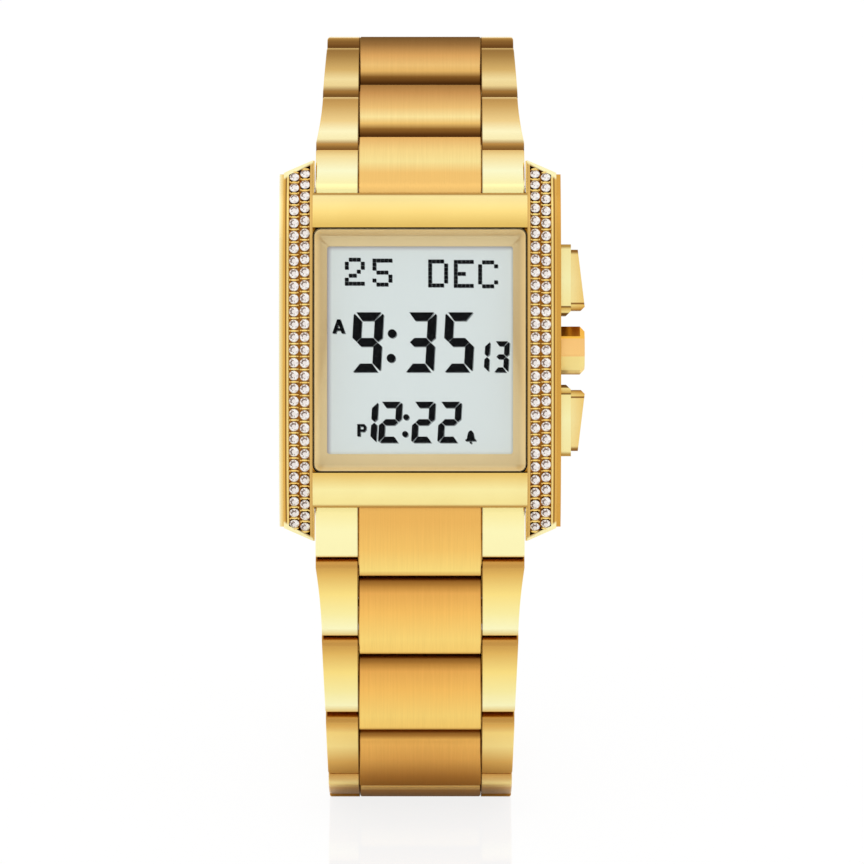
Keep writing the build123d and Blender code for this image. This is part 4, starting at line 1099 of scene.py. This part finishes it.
def plates(shapes, depth, shift):
    """Thin plates on the display, seen from the front."""
    work = bmesh.new()
    for shape in shapes:
        face = work.faces.new([work.verts.new((x + shift, depth, z - shift)) for x, z in shape])
        back = bmesh.ops.extrude_face_region(work, geom=[face])
        moved = [part for part in back["geom"] if isinstance(part, bmesh.types.BMVert)]
        bmesh.ops.translate(work, verts=moved, vec=(0.0, LAYER_THICKNESS, 0.0))
    bmesh.ops.recalc_face_normals(work, faces=work.faces)
    return kept(work, "plates")


figure_ink, _ = new_material("figure_ink", screen(10, 11, 14), 0.0, 0.45,
                             {"Specular IOR Level": 0.05})
figure_shade, _ = new_material("figure_shade", screen(120, 128, 132), 0.0, 0.6, {"Alpha": 0.35})
for name, depth, shift, material in (
        ("lcd_figures", FIGURE_LAYER, 0.0, figure_ink),
        ("lcd_figure_shadows", SHADOW_LAYER, FIGURE_SHADOW, figure_shade)):
    mesh = plates(outlines, depth, shift)
    mesh.materials.append(material)
    settled(name, mesh)
print("figures placed at depth", FIGURE_LAYER)

# %% [markdown]
# ## Letters made of dots
#
# The day and month are letters on a grid of five by seven dots. Each letter is written as seven
# rows of text, every mark becomes a point, and Geometry Nodes set a small square on every point.

# %% Points of the dot letters
DOT_PITCH = 0.458
DOT_SIZE = 0.42
DOT_LETTERS = {
    "2": (".###.", "#...#", "#...#", "...#.", ".##..", "#....", "#####"),
    "5": ("#####", "#....", "#....", ".###.", "....#", "#...#", ".###."),
    "D": ("####.", "#...#", "#...#", "#...#", "#...#", "#...#", "####."),
    "E": ("#####", "#....", "#....", "###..", "#....", "#....", "#####"),
    "C": (".###.", "#...#", "#....", "#....", "#....", "#...#", ".###."),
}
DATE = (("2", -8.62, 10.6), ("5", -5.45, 10.5), ("D", 0.93, 10.4), ("E", 3.87, 10.35),
        ("C", 6.66, 10.3))

dot_places = []
for text, left, top in DATE:
    for row, line in enumerate(DOT_LETTERS[text]):
        for column, mark in enumerate(line):
            if mark == "#":
                dot_places.append((left + DOT_SIZE / 2 + column * DOT_PITCH,
                                   top - DOT_SIZE / 2 - row * DOT_PITCH))
print("dots:", len(dot_places))

# %% The tree that sets dots


def dot_tree():
    """Points in, small square plates out."""
    tree, given, ids, way_out = new_group("dots_on_points", {
        "Points": ("Geometry", None), "Dot Size": ("Float", DOT_SIZE),
        "Thickness": ("Float", LAYER_THICKNESS), "Finish": ("Material", None)}, "Dots")
    size = add(tree, "ShaderNodeCombineXYZ",
               {"X": given["Dot Size"], "Y": given["Thickness"], "Z": given["Dot Size"]})
    square = add(tree, "GeometryNodeMeshCube", {"Size": size.outputs["Vector"]})
    instances = add(tree, "GeometryNodeInstanceOnPoints",
                    {"Points": given["Points"], "Instance": square.outputs["Mesh"]})
    send_out(tree, instances.outputs["Instances"], given["Finish"], way_out)
    return tree, ids


dots_tree, dots_ids = dot_tree()
for name, depth, shift, material in (
        ("lcd_dots", FIGURE_LAYER, 0.0, figure_ink),
        ("lcd_dot_shadows", SHADOW_LAYER, DOT_SHADOW, figure_shade)):
    point_mesh = bpy.data.meshes.new("dot_points")
    point_mesh.from_pydata([(x + shift, depth, z - shift) for x, z in dot_places], [], [])
    dots = grown(name, point_mesh, dots_tree, dots_ids,
                 {"Dot Size": DOT_SIZE, "Thickness": LAYER_THICKNESS, "Finish": material})
print("dot faces:", len(dots.data.polygons))

# %% [markdown]
# ## Floor
#
# The watch stands on a wide glossy white sheet. To the camera the sheet is mostly a glow that is
# just white, with a small matt share that takes the shadow of the watch and a weak mirror layer
# that shows a faint picture of the lowest links. To everything else it is plain white matt card.

# %% Finish of the floor
CARD_MATT, CAMERA_MATT = 0.86, 0.08
CAMERA_GLOW, MIRRORED_GLOW = 0.95, 0.15
CARD_MIRROR, CAMERA_MIRROR = 0.07, 0.11
MIRROR_ROUGHNESS = 0.06

floor_material = bpy.data.materials.new("white_sheet")
floor_material.use_nodes = True
floor_tree = floor_material.node_tree
floor_tree.nodes.clear()
rays = add(floor_tree, "ShaderNodeLightPath").outputs
seen = maths("MAXIMUM", rays["Is Camera Ray"], rays["Is Transmission Ray"])
sheet_glow = maths("MAXIMUM", maths("MULTIPLY", seen, CAMERA_GLOW),
                   maths("MULTIPLY", rays["Is Glossy Ray"], MIRRORED_GLOW))
matt = add(floor_tree, "ShaderNodeBsdfDiffuse",
           {"Color": remap(seen, 0.0, 1.0, CARD_MATT, CAMERA_MATT)})
glowing = add(floor_tree, "ShaderNodeEmission", {"Strength": sheet_glow})
card = add(floor_tree, "ShaderNodeAddShader",
           {0: matt.outputs["BSDF"], 1: glowing.outputs["Emission"]})
mirror = add(floor_tree, "ShaderNodeBsdfGlossy", {"Roughness": MIRROR_ROUGHNESS})
sheet = add(floor_tree, "ShaderNodeMixShader",
            {"Fac": remap(seen, 0.0, 1.0, CARD_MIRROR, CAMERA_MIRROR),
             1: card.outputs["Shader"], 2: mirror.outputs["BSDF"]})
add(floor_tree, "ShaderNodeOutputMaterial", {"Surface": sheet.outputs["Shader"]})
print("floor nodes:", len(floor_tree.nodes))

# %% [markdown]
# The case holds still when the bracelet opens, so its lower links swing down past the place where
# they stood. A small node tree measures the lowest link and lowers the sheet under it, which keeps
# the whole watch above its floor. While the watch stands, the sheet stays at zero.

# %% A sheet that stays under the links
FLOOR_HALF = 4.0
SLACK = 0.00001  # m, a link this far under zero still stands


def lowering_tree(watched):
    """A sheet in, the same sheet out at the height of the lowest of the watched objects."""
    tree, given, _, way_out = new_group("sheet_under_links", {
        "Sheet": ("Geometry", None), "Slack": ("Float", SLACK)}, "Lowered Sheet")
    together = add(tree, "GeometryNodeJoinGeometry")
    for part in watched:
        info = add(tree, "GeometryNodeObjectInfo", {"Object": part}, transform_space="RELATIVE")
        tree.links.new(info.outputs["Geometry"], together.inputs["Geometry"])
    box = add(tree, "GeometryNodeBoundBox", {"Geometry": together.outputs["Geometry"]})
    lowest = split(box.outputs["Min"])[2]
    drop = maths("MINIMUM", maths("ADD", lowest, given["Slack"]), 0.0)
    place = add(tree, "ShaderNodeCombineXYZ", {"Z": drop})
    move = add(tree, "GeometryNodeTransform",
               {"Geometry": given["Sheet"], "Translation": place.outputs["Vector"]})
    tree.links.new(move.outputs["Geometry"], way_out)
    return tree


floor_mesh = bpy.data.meshes.new("floor")
floor_corners = [(x * FLOOR_HALF, y * FLOOR_HALF, 0.0)
                 for x, y in ((-1, -1), (1, -1), (1, 1), (-1, 1))]
floor_mesh.from_pydata(floor_corners, [], [(0, 1, 2, 3)])
floor_mesh.materials.append(floor_material)
floor = placed("floor", floor_mesh)
floor.modifiers.new("stay_under", "NODES").node_group = lowering_tree(
    [nodes[name] for name in link_materials if name.startswith("lower")])
bpy.context.view_layer.update()
floor_seen = floor.evaluated_get(bpy.context.evaluated_depsgraph_get())
print("floor half width in m:", FLOOR_HALF, "height:", floor_seen.data.vertices[0].co.z)

# %% [markdown]
# ## Light
#
# Jewellery is lit with large soft sources, because metal shows what it reflects. The world is
# white all round and a little greyer straight in front of the dial, where a photographer would
# stand, which gives rounded gold its gradients. One wide soft lamp in front and above adds gentle
# shape, and a smaller one from the left gives edges a glint.

# %% World
SKY_GREYS = ((0.0, 1.0), (0.45, 0.98), (0.8, 0.95), (1.0, 0.94))
GREY_FROM = 0.6  # cosine of the angle to the front of the dial

world = bpy.data.worlds.new("studio")
bpy.context.scene.world = world
world.use_nodes = True
world_tree = world.node_tree
world_tree.nodes.clear()
direction = add(world_tree, "ShaderNodeTexCoord").outputs["Generated"]
front = (0.0, -math.cos(LEAN), math.sin(LEAN))
towards_front = add(world_tree, "ShaderNodeVectorMath", {0: direction, 1: front},
                    operation="DOT_PRODUCT").outputs["Value"]
sky_colour = ramp(remap(towards_front, GREY_FROM, 1.0), SKY_GREYS,
                  lambda grey: (grey, grey, grey, 1.0))
sky = add(world_tree, "ShaderNodeBackground", {"Color": sky_colour, "Strength": 1.0})
add(world_tree, "ShaderNodeOutputWorld", {"Surface": sky.outputs["Background"]})
print("sky strength:", sky.inputs["Strength"].default_value)

# %% Lamps
WATCH_MIDDLE = Vector((0.0, 0.0, 0.045))
# Name, place in m, width in m and power in W.
LAMPS = (("front_softbox", (-0.35, -0.8, 1.1), 0.9, 0.5),
         ("left_softbox", (-0.9, -0.3, 0.5), 0.5, 0.25))

for name, place, width, power in LAMPS:
    lamp = bpy.data.lights.new(name, "AREA")
    lamp.shape = "SQUARE"
    lamp.size = width
    lamp.energy = power
    holder = placed(name, lamp)
    holder.location = place
    holder.rotation_euler = (WATCH_MIDDLE - Vector(place)).to_track_quat("-Z", "Y").to_euler()
print("lamps:", [lamp.name for lamp in bpy.data.lights])

# %% [markdown]
# ## Camera
#
# The camera looks straight at the dial, so it leans down by the same 12 degrees, and stands far
# enough away that the bracelet shows little perspective. A long lens fills the frame.

# %% Camera
CAMERA_DISTANCE = 0.8
FRAME_WIDTH = 0.0988  # m, what the frame spans at the dial
AIM_RIGHT, AIM_DOWN = 0.00137, 0.00937
SENSOR_WIDTH = 36.0  # mm

dial_up = Vector((0.0, math.sin(LEAN), math.cos(LEAN)))
into_dial = Vector((0.0, math.cos(LEAN), -math.sin(LEAN)))
aim = case_origin + Vector((AIM_RIGHT, 0.0, 0.0)) - AIM_DOWN * dial_up
camera_data = bpy.data.cameras.new("camera")
camera_data.sensor_width = SENSOR_WIDTH
camera_data.lens = SENSOR_WIDTH * CAMERA_DISTANCE / FRAME_WIDTH
camera = placed("camera", camera_data)
camera.location = aim - CAMERA_DISTANCE * into_dial
camera.rotation_euler = into_dial.to_track_quat("-Z", "Y").to_euler()
bpy.context.scene.camera = camera
bpy.context.scene.view_settings.view_transform = "Standard"
print("lens in mm:", round(camera_data.lens, 1))
